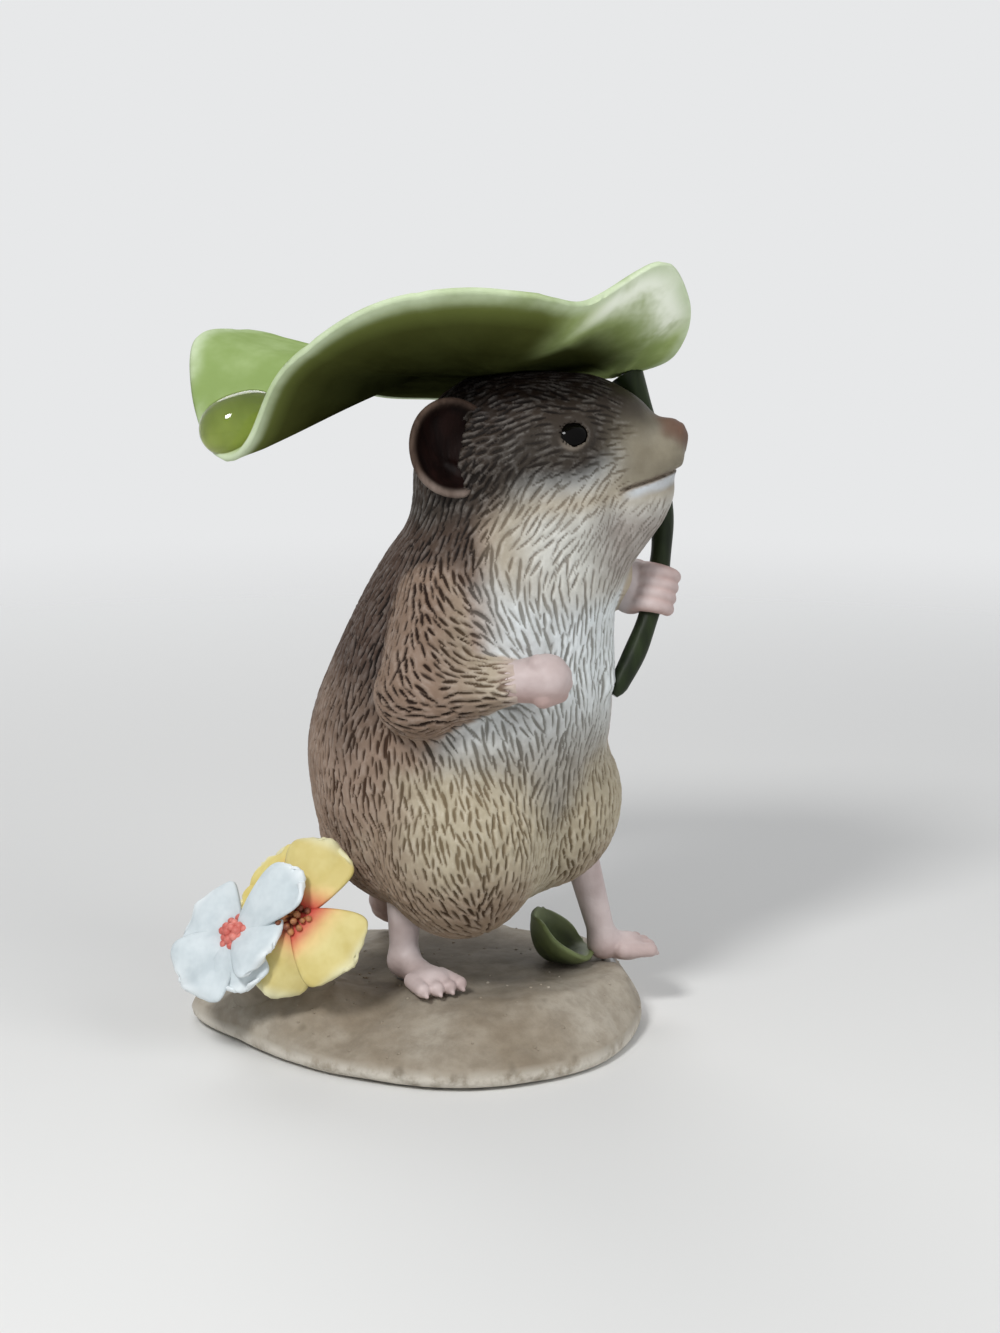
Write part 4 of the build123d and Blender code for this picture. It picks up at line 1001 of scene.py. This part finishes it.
def leafPaint(wire):
    cloud = wire.noise(120, 4, 0.6)
    fine = wire.noise(700, 3, 0.6)
    rim = wire.mark("rim")
    upper = wire.mark("upper")
    bright = cloud.between(0.3, 0.7).mix(rgba(142, 164, 100), rgba(174, 194, 138))
    # underside: dark olive paint with painted shade, near black towards the middle above the head, lightening out to
    # the rim
    under = wire.make("ShaderNodeValToRGB", {"stops": [(0.0, rgba(8, 8, 3)), (0.45, rgba(18, 19, 7)), (0.68, rgba(40, 42, 17)),
                      (0.86, rgba(66, 70, 33)), (0.945, rgba(98, 107, 55)), (1.0, rgba(156, 172, 120))]}, {"Fac": wire.mark("reach")})
    under = (cloud.between(0.3, 0.7) * 0.1).mix(under, rgba(116, 126, 70))
    # right lobe's outer face: a lit green in place of the shaded underside, painted light where the lobe curls up
    under = wire.mark("lobe").mix(under, cloud.between(0.35, 0.65).mix(rgba(150, 168, 104), rgba(188, 206, 142)))
    colour = upper.between(0.35, 0.65).mix(under, bright)
    colour = (wire.mark("vein") * 0.4 * upper).mix(colour, rgba(184, 202, 146))
    # painted highlight on the top of the right lobe
    colour = (wire.mark("pale") * cloud.between(0.25, 0.5)).mix(colour, rgba(246, 252, 234))
    # painted highlight: a pale band along the rounded rim
    colour = (rim * cloud.between(0.2, 0.65)).mix(colour, rgba(206, 220, 186))
    return {"Base Color": colour, "Roughness": 0.44 + 0.22 * fine, "Normal": wire.bump(cloud * 0.7 + fine * 0.3, 0.2, 0.0005)}


leafGreen = finish("leafGreen", leafPaint, **{"Specular IOR Level": 0.0})
# rim marks where the painted highlight along the leaf's rim goes
marks = {"upper": upper, "vein": veins, "pale": pale, "rim": ease(0.93, 1.0, rhoAll),
         # the far half of the underside gets more painted shade
         "reach": rhoAll * (1 - 0.45 * ease(205, 235, angleAll) * ease(338, 315, angleAll)),
         # lobe: where the right lobe's outer face is painted lit
         "lobe": ease(0.6, 0.9, rhoAll) * ease(48, 30, np.abs((angleAll - 12 + 180) % 360 - 180)) * (1 - upper)}
seat(meshPiece("leaf_blade", lv, lf, leafGreen, marks), "leaf_green", "leaf")
print("leaf made")

# Clear drop in the low end of the leaf
drop = {"angle": 170.0, "reach": 0.84, "radii": (3.6, 2.7, 2.7), "float": 1.3}
da, db = math.cos(math.radians(drop["angle"])) * drop["reach"], math.sin(math.radians(drop["angle"])) * drop["reach"]
bed = leafSheet(np.array([[da]]), np.array([[db]]))[0][0, 0]
bedAhead = leafSheet(np.array([[da * 0.8]]), np.array([[db * 0.8]]))[0][0, 0]
dropRun = unit(bedAhead - bed)
dropSide = unit(np.cross([0, 0, 1], dropRun))
dropUp = np.cross(dropRun, dropSide)
dropSpot = bed + dropUp * drop["float"]


def dropField(p):
    d = egg(p, dropSpot, drop["radii"], np.array([dropRun, dropSide, dropUp]))
    return smoothMin(d, egg(p, dropSpot - dropRun * 1.6, (2.7, 2.5, 2.5), np.array([dropRun, dropSide, dropUp])), 1.0)


dv, df, dn = skinOf(dropField, dropSpot - 6.5, dropSpot + 6.5, 0.16, 4)
clearResin = finish("clearResin", lambda w: {"Base Color": w.noise(200).between(0.3, 0.7).mix(rgba(158, 158, 92), rgba(182, 182, 116))},
                    **{"Roughness": 0.03, "Transmission Weight": 1.0, "IOR": 1.4})
seat(meshPiece("dew_drop_resin", dv, df, clearResin, normals=dn), "clear_resin", "dew_drop")


# Geometry Nodes
def nodeTree(name, sockets):
    tree = bpy.data.node_groups.new(name, "GeometryNodeTree")
    tree.interface.new_socket("Geometry", in_out="INPUT", socket_type="NodeSocketGeometry")
    for label, kind, value in sockets:
        socket = tree.interface.new_socket(label, in_out="INPUT", socket_type=kind)
        if value is not None:
            socket.default_value = value
    tree.interface.new_socket("Geometry", in_out="OUTPUT", socket_type="NodeSocketGeometry")
    wire = Wire(tree)
    source = tree.nodes.new("NodeGroupInput")
    ends = {item.name: Wire(tree, item) for item in source.outputs if item.name}
    return tree, wire, ends


def closeTree(wire, geometry, material):
    real = wire.make("GeometryNodeRealizeInstances", None, {"Geometry": geometry})
    soft = wire.make("GeometryNodeSetShadeSmooth", None, {"Geometry": real})
    painted = wire.make("GeometryNodeSetMaterial", None, {"Geometry": soft, "Material": material})
    wire.make("NodeGroupOutput", None, {0: painted})


def grow(name, mesh, tree, values):
    piece = bpy.data.objects.new(name, mesh)
    bpy.context.scene.collection.objects.link(piece)
    live = piece.modifiers.new("grow", "NODES")
    live.node_group = tree
    for item in tree.interface.items_tree:
        if item.in_out == "INPUT" and item.name in values:
            live[item.identifier] = values[item.name]
    made = bpy.data.meshes.new_from_object(piece.evaluated_get(bpy.context.evaluated_depsgraph_get()))
    piece.modifiers.clear()
    piece.data = made
    made.name = name
    return piece


def pointMesh(name, points, edges=(), marks=None):
    mesh = bpy.data.meshes.new(name)
    mesh.from_pydata((np.asarray(points) * 0.001).tolist(), list(edges), [])
    for mark, values in (marks or {}).items():
        mesh.attributes.new(mark, "FLOAT", "POINT").data.foreach_set("value", np.asarray(values, np.float32))
    return mesh


stemTree, wire, ends = nodeTree("stemAlongArc", [("Sides", "NodeSocketInt", 20), ("Finish", "NodeSocketMaterial", None)])
line = wire.make("GeometryNodeMeshToCurve", None, {"Mesh": ends["Geometry"]})
girth = wire.make("GeometryNodeInputNamedAttribute", {"data_type": "FLOAT"}, {"Name": "girth"})
loop = wire.make("GeometryNodeCurvePrimitiveCircle", None, {"Resolution": ends["Sides"], "Radius": 1.0})
tube = wire.make("GeometryNodeCurveToMesh", None, {"Curve": line, "Profile Curve": loop, "Scale": girth, "Fill Caps": True})
closeTree(wire, tube, ends["Finish"])

beadTree, wire, ends = nodeTree("beadsOnPoints", [("Size", "NodeSocketFloat", 0.0006), ("Seed", "NodeSocketInt", 1), ("Finish", "NodeSocketMaterial", None)])
bead = wire.make("GeometryNodeMeshIcoSphere", None, {"Radius": ends["Size"], "Subdivisions": 2})
scale = wire.make("FunctionNodeRandomValue", {"data_type": "FLOAT"}, {2: 0.75, 3: 1.2, "Seed": ends["Seed"]}, 1)
points = wire.make("GeometryNodeMeshToPoints", None, {"Mesh": ends["Geometry"]})
spread = wire.make("GeometryNodeInstanceOnPoints", None, {"Points": points, "Instance": bead, "Scale": scale})
closeTree(wire, spread, ends["Finish"])

grit = {"density": 90000.0, "size": 0.00016, "seed": 5}
gritTree, wire, ends = nodeTree("gritOnGround", [("Density", "NodeSocketFloat", grit["density"]), ("Size", "NodeSocketFloat", grit["size"]),
                                ("Seed", "NodeSocketInt", grit["seed"]), ("Finish", "NodeSocketMaterial", None)])
points = wire.make("GeometryNodeDistributePointsOnFaces", None, {"Mesh": ends["Geometry"], "Density": ends["Density"], "Seed": ends["Seed"]})
grain = wire.make("GeometryNodeMeshIcoSphere", None, {"Radius": ends["Size"], "Subdivisions": 1})
scale = wire.make("FunctionNodeRandomValue", {"data_type": "FLOAT_VECTOR"}, {0: (0.5, 0.5, 0.4), 1: (1.5, 1.4, 0.9), "Seed": ends["Seed"]})
spread = wire.make("GeometryNodeInstanceOnPoints", None, {"Points": points, "Instance": grain, "Scale": scale})
closeTree(wire, spread, ends["Finish"])


# Stem
def stemPaint(wire):
    streak = wire.noise(420, 3, 0.6, wire.stretch((1, 1, 0.12)))
    colour = streak.between(0.3, 0.75).mix(rgba(18, 25, 12), rgba(44, 55, 30))
    return {"Base Color": colour, "Roughness": 0.35 + 0.2 * streak, "Normal": wire.bump(streak, 0.35, 0.0004)}


stemGreen = finish("stemGreen", stemPaint, **{"Specular IOR Level": 0.2})
stem = {"girth": 1.0, "flare": 0.85, "steps": 60}
shares = np.linspace(0.02, 1.0, stem["steps"])
stemPoints = [stemArc(s)[0] for s in shares]
girths = [stem["girth"] * (1 + stem["flare"] * math.exp(-s / 0.06)) * (1 + 0.06 * math.sin(s * 31)) * min(1, 0.55 + (1 - s) * 18) for s in shares]
mesh = pointMesh("leaf_stem_line", stemPoints, [(n, n + 1) for n in range(len(shares) - 1)], {"girth": [g * 0.001 for g in girths]})
piece = grow("leaf_stem_green", mesh, stemTree, {"Sides": 20, "Finish": stemGreen})
seat(piece, "stem_green", "leaf_stem")

# Flowers
flowers = {
    "white_flower": {"spot": (-15.5, 9.2, 10.8), "facing": 206, "tip": 54, "slot": "white_petal", "root": (-13.6, 4.6),
                     "petals": [(-128, 6.8, 8.4, 0.16), (152, 5.4, 8.0, 0.1), (-74, 5.4, 6.6, 0.12), (42, 8.2, 5.6, 0.5), (-24, 4.6, 7.4, 0.45)]},
    "yellow_flower": {"spot": (-10.32, 9.8, 12.85), "facing": 219, "tip": 64, "slot": "yellow_petal", "root": (-9.4, 6.0),
                      "petals": [(172, 5.0, 6.4, -0.3), (120, 5.4, 6.0, -0.25), (68, 7.6, 7.2, 0.2), (-106, 7.4, 6.6, -0.05), (-38, 7.0, 8.8, 0.2)]},
    "back_flower": {"spot": (-11.8, -0.8, 11.6), "facing": 160, "tip": 48, "slot": "yellow_petal", "root": (-11.0, -0.6),
                    "petals": [(90, 5.6, 6.4, 0.25), (18, 5.4, 6.4, 0.25), (-54, 5.4, 6.4, 0.25), (-126, 5.4, 6.4, 0.25), (162, 5.6, 6.4, 0.25)]}}


def petalSheet(length, width, lift, seed):
    u = np.linspace(0.03, 1, 26)[:, None]
    v = np.linspace(-1, 1, 23)[None, :]
    half = width / 2 * 1.12 * u**0.6 * np.sqrt(np.maximum(1 - (0.985 * u) ** 6, 0))
    x = length * u * (1 - 0.10 * v * v * u**3) + 0 * v
    y = half * v
    rise = lift * length * u - 0.16 * length * u**3 + 0.10 * half * v * v * np.cos(2.2 * u)
    ruffle = 0.28 * u**2 * np.sin(3.4 * v + seed * 2.1) + 0.16 * u**3 * np.sin(7 * v + seed)
    return np.stack([x, y, rise + ruffle], -1), u + 0 * v, v + 0 * u


def flowerPaint(petal, edge, heart, streak, reach):
    def paint(wire):
        along = wire.mark("along")
        cloud = wire.noise(320, 3, 0.6)
        vein = wire.noise(900, 2, 0.5, wire.stretch((1, 1, 0.4)))
        colour = cloud.between(0.3, 0.7).mix(rgba(*petal[0]), rgba(*petal[1]))
        colour = along.between(0.82, 1.0).mix(colour, rgba(*edge))
        if streak:
            near = (1 - along.between(0.18, 0.62)) * cloud.between(0.25, 0.65)
            colour = near.mix(colour, rgba(*streak))
        if heart:
            blush = 1 - (along + cloud * 0.14).between(0.2, reach)
            colour = blush.mix(colour, rgba(*heart))
        return {"Base Color": colour, "Roughness": 0.5 + 0.15 * cloud, "Normal": wire.bump(vein * 0.5 + cloud * 0.5, 0.3, 0.0004)}
    return paint


petalFinish = {
    "white_flower": finish("whitePetal", flowerPaint(((192, 203, 207), (214, 223, 226)), (226, 233, 235), None, None, 0.3), **{"Specular IOR Level": 0.35}),
    "yellow_flower": finish("yellowPetal", flowerPaint(((204, 187, 116), (216, 203, 140)), (222, 217, 176), (196, 72, 62), (236, 184, 124), 0.52), **{"Specular IOR Level": 0.35}),
    "back_flower": finish("backPetal", flowerPaint(((222, 200, 110), (232, 218, 140)), (238, 232, 190), (204, 110, 60), (226, 160, 70), 0.42), **{"Specular IOR Level": 0.35})}
beadFinish = {
    "white_flower": finish("coralBead", lambda w: {"Base Color": w.noise(900).between(0.3, 0.7).mix(rgba(196, 96, 86), rgba(222, 138, 126)), "Roughness": 0.45 + 0.1 * w.noise(500)}),
    "yellow_flower": finish("stamenHead", lambda w: {"Base Color": w.noise(900).between(0.35, 0.65).mix(rgba(110, 56, 40), rgba(190, 132, 84)), "Roughness": 0.45 + 0.1 * w.noise(500)}),
    "back_flower": finish("amberBead", lambda w: {"Base Color": w.noise(900).between(0.3, 0.7).mix(rgba(170, 110, 44), rgba(214, 160, 78)), "Roughness": 0.45 + 0.1 * w.noise(500)})}
stalks = {}
for node, plan in flowers.items():
    origin = viewPoint(*plan["spot"])
    level = math.sin(math.radians(plan["tip"]))
    out = np.array([level * math.cos(math.radians(plan["facing"])), level * math.sin(math.radians(plan["facing"])), math.cos(math.radians(plan["tip"]))])
    rightWay = -unit(np.cross(out, [0, 0, 1]))
    upWay = np.cross(out, rightWay)
    allV, allF, alongs, count = [], [], [], 0
    for n, (angle, length, width, lift) in enumerate(plan["petals"]):
        local, u, v = petalSheet(length, width, lift, n + len(node))
        c, s = math.cos(math.radians(angle)), math.sin(math.radians(angle))
        way, beside = rightWay * c + upWay * s, upWay * c - rightWay * s
        mid = origin + out * (0.9 + 0.12 * n) + local[..., :1] * way + local[..., 1:2] * beside + local[..., 2:] * out
        thick = 0.75 - 0.35 * ease(0.6, 1.0, np.maximum(np.abs(v), u))
        pv, pf, pu, prim = slab(mid, thick)
        reach = np.clip(np.hypot(u, 0.0 * v), 0, 1).ravel()
        allV.append(pv)
        allF.append(pf + count)
        alongs.append(np.concatenate([reach, reach, reach[prim]]))
        count += len(pv)
    foot = viewPoint(plan["root"][0], plan["root"][1], 1.6)
    stalk = []
    for share in np.linspace(0, 1, 14):
        p = foot + (origin + out * 0.6 - foot) * share
        wideness = 1.3 + 2.6 * (1 - share) ** 2
        stalk.append(np.array([p + wideness * (rightWay * math.cos(k * math.pi / 9) + np.cross(out, rightWay) * math.sin(k * math.pi / 9)) for k in range(18)]))
    stalks[node] = ringSkin(stalk)
    piece = meshPiece(node + "_petals", np.concatenate(allV), np.concatenate(allF).tolist(), petalFinish[node], {"along": np.concatenate(alongs)})
    seat(piece, plan["slot"], node)

    beadRng = np.random.default_rng(len(node))
    tips, lines = [], []
    heartSpot = origin + out * 1.3
    for k in range(22 if node == "white_flower" else 16):
        turnA, far = k * 2.399963, math.sqrt((k + 0.5) / 20)
        spread = rightWay * math.cos(turnA) * far + upWay * math.sin(turnA) * far
        if node == "white_flower":
            tips.append(heartSpot + spread * 1.45 + out * (0.75 * (1 - far * far) + 0.15 * beadRng.random()))
        else:
            tips.append(heartSpot + spread * (1.7 + 0.4 * beadRng.random()) + out * (0.6 + 0.5 * beadRng.random()))
        lines.append((heartSpot + spread * 0.4, tips[-1]))
    size = 0.00042 if node == "white_flower" else 0.00030
    beads = grow(node + "_beads", pointMesh(node + "_tips", tips), beadTree, {"Size": size, "Seed": 3, "Finish": beadFinish[node]})
    seat(beads, "flower_centre", node + "_centre")
    threads = pointMesh(node + "_lines", np.concatenate([np.array(l) for l in lines]), [(2 * k, 2 * k + 1) for k in range(len(lines))],
                        {"girth": np.full(2 * len(lines), 0.00022 if node == "white_flower" else 0.00016)})
    thread = grow(node + "_threads", threads, stemTree, {"Sides": 8, "Finish": beadFinish[node]})
    seat(thread, "flower_centre", node + "_centre")
print("flowers made")

# Curled leaf on the ground
curl = {"spot": mousePoint(5.88, 6.16, 5.3), "long": 4.0, "wide": 3.3, "deep": 2.7, "lean": 24}
lean = math.radians(curl["lean"])
curlOut = viewPoint(math.sin(lean), 0, math.cos(lean))
curlSide = unit(np.cross(curlOut, [0, 0, 1]))
curlRun = np.cross(curlOut, curlSide)
a, b = discGrid(44)
bow = a * a + b * b
mid = (curl["spot"] + curlOut * 0.35 + (a * curl["long"])[..., None] * curlSide + (b * curl["wide"])[..., None] * curlRun
       + (curl["deep"] * bow * (1 - 0.25 * b) + 0.2 * np.sin(5 * a + 2 * b))[..., None] * curlOut)
cv, cf, cu, crim = slab(mid, 0.75 - 0.25 * ease(0.8, 1.0, np.sqrt(bow)))


def curlPaint(wire):
    cloud = wire.noise(300, 3, 0.6)
    colour = cloud.between(0.3, 0.7).mix(rgba(38, 48, 24), rgba(80, 92, 50))
    colour = wire.mark("edge").mix(colour, rgba(122, 134, 88))
    return {"Base Color": colour, "Roughness": 0.45 + 0.2 * cloud, "Normal": wire.bump(cloud, 0.3, 0.0005)}


curlGreen = finish("curlGreen", curlPaint, **{"Specular IOR Level": 0.4})
reach = np.sqrt(bow).ravel()
seat(meshPiece("curled_leaf_blade", cv, cf, curlGreen, {"edge": 0.7 * ease(0.75, 1.0, np.concatenate([reach, reach, reach[crim]]))}), "stem_green", "curled_leaf")

# Ground: lumpy patch with a pale bottom edge
ground = {"half": (21.5, 20.0), "edge": 1.6, "top": 5.3, "share": 0.62, "shift": (5.59, 1.4), "sides": 220,
          "mounds": [(-10.2, 9.6, 3.4, 2.2), (-15.0, 6.4, 3.0, 2.0), (12.0, 9.0, 3.5, 0.5), (-1.0, 14.5, 3.0, 0.6)]}
outline = np.array([(1.0, 0.04), (0.74, 0.68), (0.02, 0.97), (-0.66, 0.76), (-1.0, 0.07), (-0.74, -0.42), (-0.30, -0.83), (0.27, -1.0), (0.80, -0.68)]) * ground["half"]
wrap = np.concatenate([outline[-3:], outline, outline[:3]])
turns = np.linspace(0, 9, ground["sides"], endpoint=False)
rimR, rimA = hermite(np.arange(-3, 12), wrap.T, turns)
rings = []


def groundRing(scale, z, lumpy):
    mixTop = np.clip((1 - scale) / (1 - ground["share"]), 0, 1)
    r = rimR * scale + ground["shift"][0] * mixTop
    c = rimA * scale + ground["shift"][1] * mixTop
    p = np.stack([0.70711 * (r + c), 0.70711 * (c - r), np.full(len(r), z)], 1)
    flat = p * [1, 1, 0]
    p[:, 2] += lumpy * (0.6 * lump(flat, 5.5, 3) + 0.32 * lump(flat, 2.4, 4) + 0.14 * lump(flat, 1.0, 5))
    for right, near, wide, rise in ground["mounds"]:
        spot = viewPoint(right, near, 0)
        p[:, 2] += rise * np.exp(-np.sum((flat - spot) ** 2, 1) / (2 * wide**2)) * np.clip((z - 0.9) / 2.5, 0, 1)
    push = lumpy * (0.5 * lump(p + [0, 0, 7], 4.0, 6) + 0.35 * lump(p, 1.8, 7))
    p[:, :2] += unit(p[:, :2]) * push[:, None] * 0.35
    return p


for scale in np.linspace(0.02, 0.60, 34):
    rings.append(groundRing(scale, ground["top"] - 0.12, 0.35))
for share in np.linspace(0, 1, 30)[1:]:
    scale = 0.60 + 0.385 * share
    rings.append(groundRing(scale, ground["edge"] + 0.35 + (ground["top"] - 0.12 - ground["edge"] - 0.35) * (1 - share**1.35), 0.35 + 0.9 * math.sin(share * math.pi) ** 0.7))
for z, scale in ((1.5, 0.995), (1.1, 1.0), (0.7, 0.997), (0.4, 0.985), (0.22, 0.96)):
    rings.append(groundRing(scale, z, 0.12))
rings.append(groundRing(0.9, 0.2, 0.0))
gv, gf = ringSkin(rings)
gf = [f[::-1] for f in gf]


def groundPaint(wire):
    broad = wire.noise(70, 4, 0.6)
    grain = wire.noise(520, 4, 0.65)
    pits = wire.noise(260, 2, 0.5)
    colour = broad.between(0.32, 0.68).mix(rgba(142, 130, 112), rgba(180, 172, 158))
    colour = (grain.between(0.35, 0.7) * 0.4).mix(colour, rgba(116, 104, 88))
    colour = ((1 - pits.between(0.26, 0.36)) * 0.5).mix(colour, rgba(96, 86, 70))
    # painted shade: the ground darkens under the mouse
    colour = (wire.mark("under") * 0.7).mix(colour, rgba(76, 69, 56))
    colour = (wire.mark("edge") * grain.between(0.25, 0.6)).mix(colour, rgba(206, 200, 188))
    return {"Base Color": colour, "Roughness": 0.62 + 0.2 * grain, "Normal": wire.bump(grain * 0.6 + pits * 0.4, 0.4, 0.0006)}


groundStone = finish("groundStone", groundPaint, **{"Specular IOR Level": 0.3})
# how much painted shade falls on the ground under the mouse, fading out from the middle of the body
under = ease(15, 7, np.linalg.norm((gv - mousePoint(1.5, 0, 0)) * [1, 1, 0], axis=1)) * (0.8 + 0.2 * lump(gv, 2.5, 9))
groundPiece = meshPiece("ground_patch", gv, gf, groundStone, {"edge": ease(2.0, 1.0, gv[:, 2]), "under": under})
seat(groundPiece, "ground", "ground_base")
for node, (sv, sf) in stalks.items():  # lumps of ground that carry the flowers
    sv = np.maximum(sv + 0.25 * np.stack([lump(sv, 1.5, k) for k in range(3)], 1), [-99, -99, 0.6])
    # the lumps under the flowers take half of the ground's painted shade
    seat(meshPiece(node + "_lump", sv, sf, groundStone, {"edge": np.zeros(len(sv)), "under": np.full(len(sv), 0.5)}), "ground", node)
topFaces = [f for f in gf if np.min(gv[f][:, 2]) > 2.0]
topMesh = bpy.data.meshes.new("gritBed")
topMesh.from_pydata((gv * 0.001).tolist(), [], topFaces)
grains = grow("ground_grit", topMesh, gritTree, {"Density": grit["density"], "Size": grit["size"], "Seed": grit["seed"], "Finish": groundStone})
seat(grains, "ground", "ground_base")
print("ground made")

# CAD pieces that stay as they are
steel = finish("pinSteel", lambda w: {"Base Color": w.noise(600).between(0.3, 0.7).mix(rgba(150, 150, 150), rgba(186, 186, 188)), "Roughness": 0.3 + 0.2 * w.noise(900)}, **{"Metallic": 1.0})
brass = finish("dowelBrass", lambda w: {"Base Color": w.noise(600).between(0.3, 0.7).mix(rgba(176, 140, 78), rgba(206, 172, 104)), "Roughness": 0.3 + 0.2 * w.noise(900)}, **{"Metallic": 1.0})
felt = finish("padFelt", lambda w: {"Base Color": w.noise(1500, 3, 0.7).between(0.3, 0.7).mix(rgba(58, 66, 54), rgba(88, 96, 80)), "Roughness": 0.85 + 0.1 * w.noise(700), "Normal": w.bump(w.noise(1800, 3, 0.7), 0.8, 0.0004)})
for node, material in (("leg_pins", steel), ("stem_wire", steel), ("neck_dowel", brass), ("felt_pad", felt)):
    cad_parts[node].data.materials.clear()
    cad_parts[node].data.materials.append(material)

# Stage, light and camera
floorMesh = bpy.data.meshes.new("floor")
floorMesh.from_pydata([(2 * math.cos(k * math.pi / 32), 2 * math.sin(k * math.pi / 32), 0) for k in range(64)], [], [list(range(64))])
floor = bpy.data.objects.new("floor", floorMesh)
bpy.context.scene.collection.objects.link(floor)
floorPale = bpy.data.materials.new("floorPale")
floorPale.use_nodes = True
floorPale.node_tree.nodes.clear()
wire = Wire(floorPale.node_tree)
matt = wire.make("ShaderNodeBsdfPrincipled", None, {"Base Color": rgba(226, 226, 224), "Roughness": 0.9, "Specular IOR Level": 0.1})
gone = wire.make("ShaderNodeBsdfTransparent")
far = wire.make("ShaderNodeVectorMath", {"operation": "LENGTH"}, {0: wire.spot()}, 1).between(0.09, 0.34)
wire.make("ShaderNodeOutputMaterial", None, {"Surface": wire.make("ShaderNodeMixShader", None, {0: far, 1: matt, 2: gone})})
floorMesh.materials.append(floorPale)

world = bpy.data.worlds.new("studio")
bpy.context.scene.world = world
world.use_nodes = True
world.node_tree.nodes.clear()
wire = Wire(world.node_tree)
path = wire.tree.nodes.new("ShaderNodeLightPath")
seen = Wire(wire.tree, path.outputs["Is Camera Ray"]) + Wire(wire.tree, path.outputs["Is Transmission Ray"])
seen = seen + Wire(wire.tree, path.outputs["Is Glossy Ray"])
fill = wire.make("ShaderNodeBackground", None, {"Color": (0.93, 0.95, 1.0, 1), "Strength": 0.33})
back = wire.make("ShaderNodeBackground", None, {"Color": rgba(231, 232, 233), "Strength": 1.0})
wire.make("ShaderNodeOutputWorld", None, {"Surface": wire.make("ShaderNodeMixShader", None, {0: seen, 1: fill, 2: back})})

lamps = {  # place, aim, size, watts
    "key": (viewPoint(-120, 240, 270), (0, 0, 35), 0.08, 0.8),
    "side": (viewPoint(220, 150, 170), (0, 0, 35), 0.2, 0.28),
    "rim": (viewPoint(-60, -260, 240), (0, 0, 40), 0.2, 0.3)}
for name, (spot, aim, size, watts) in lamps.items():
    light = bpy.data.lights.new(name, "AREA")
    light.shape, light.size, light.energy = "DISK", size, watts
    lamp = bpy.data.objects.new(name, light)
    lamp.visible_glossy = name != "side"
    lamp.location = Vector(spot) * 0.001
    lamp.rotation_euler = (Vector(aim) - Vector(spot)).to_track_quat("-Z", "Y").to_euler()
    bpy.context.scene.collection.objects.link(lamp)

cameraData = bpy.data.cameras.new("camera")
cameraData.sensor_fit = "VERTICAL"
cameraData.sensor_height = 24.0
cameraData.lens = 24.0 / (2 * 666.5 / 2444)
cameraData.clip_start = 0.01
camera = bpy.data.objects.new("camera", cameraData)
camera.location = Vector(viewPoint(8.0, 223.0, 78.0)) * 0.001
camera.rotation_euler = (math.radians(90 - 11.1), 0, math.radians(-45))
bpy.context.scene.collection.objects.link(camera)
bpy.context.scene.camera = camera
bpy.context.scene.view_settings.view_transform = "Standard"
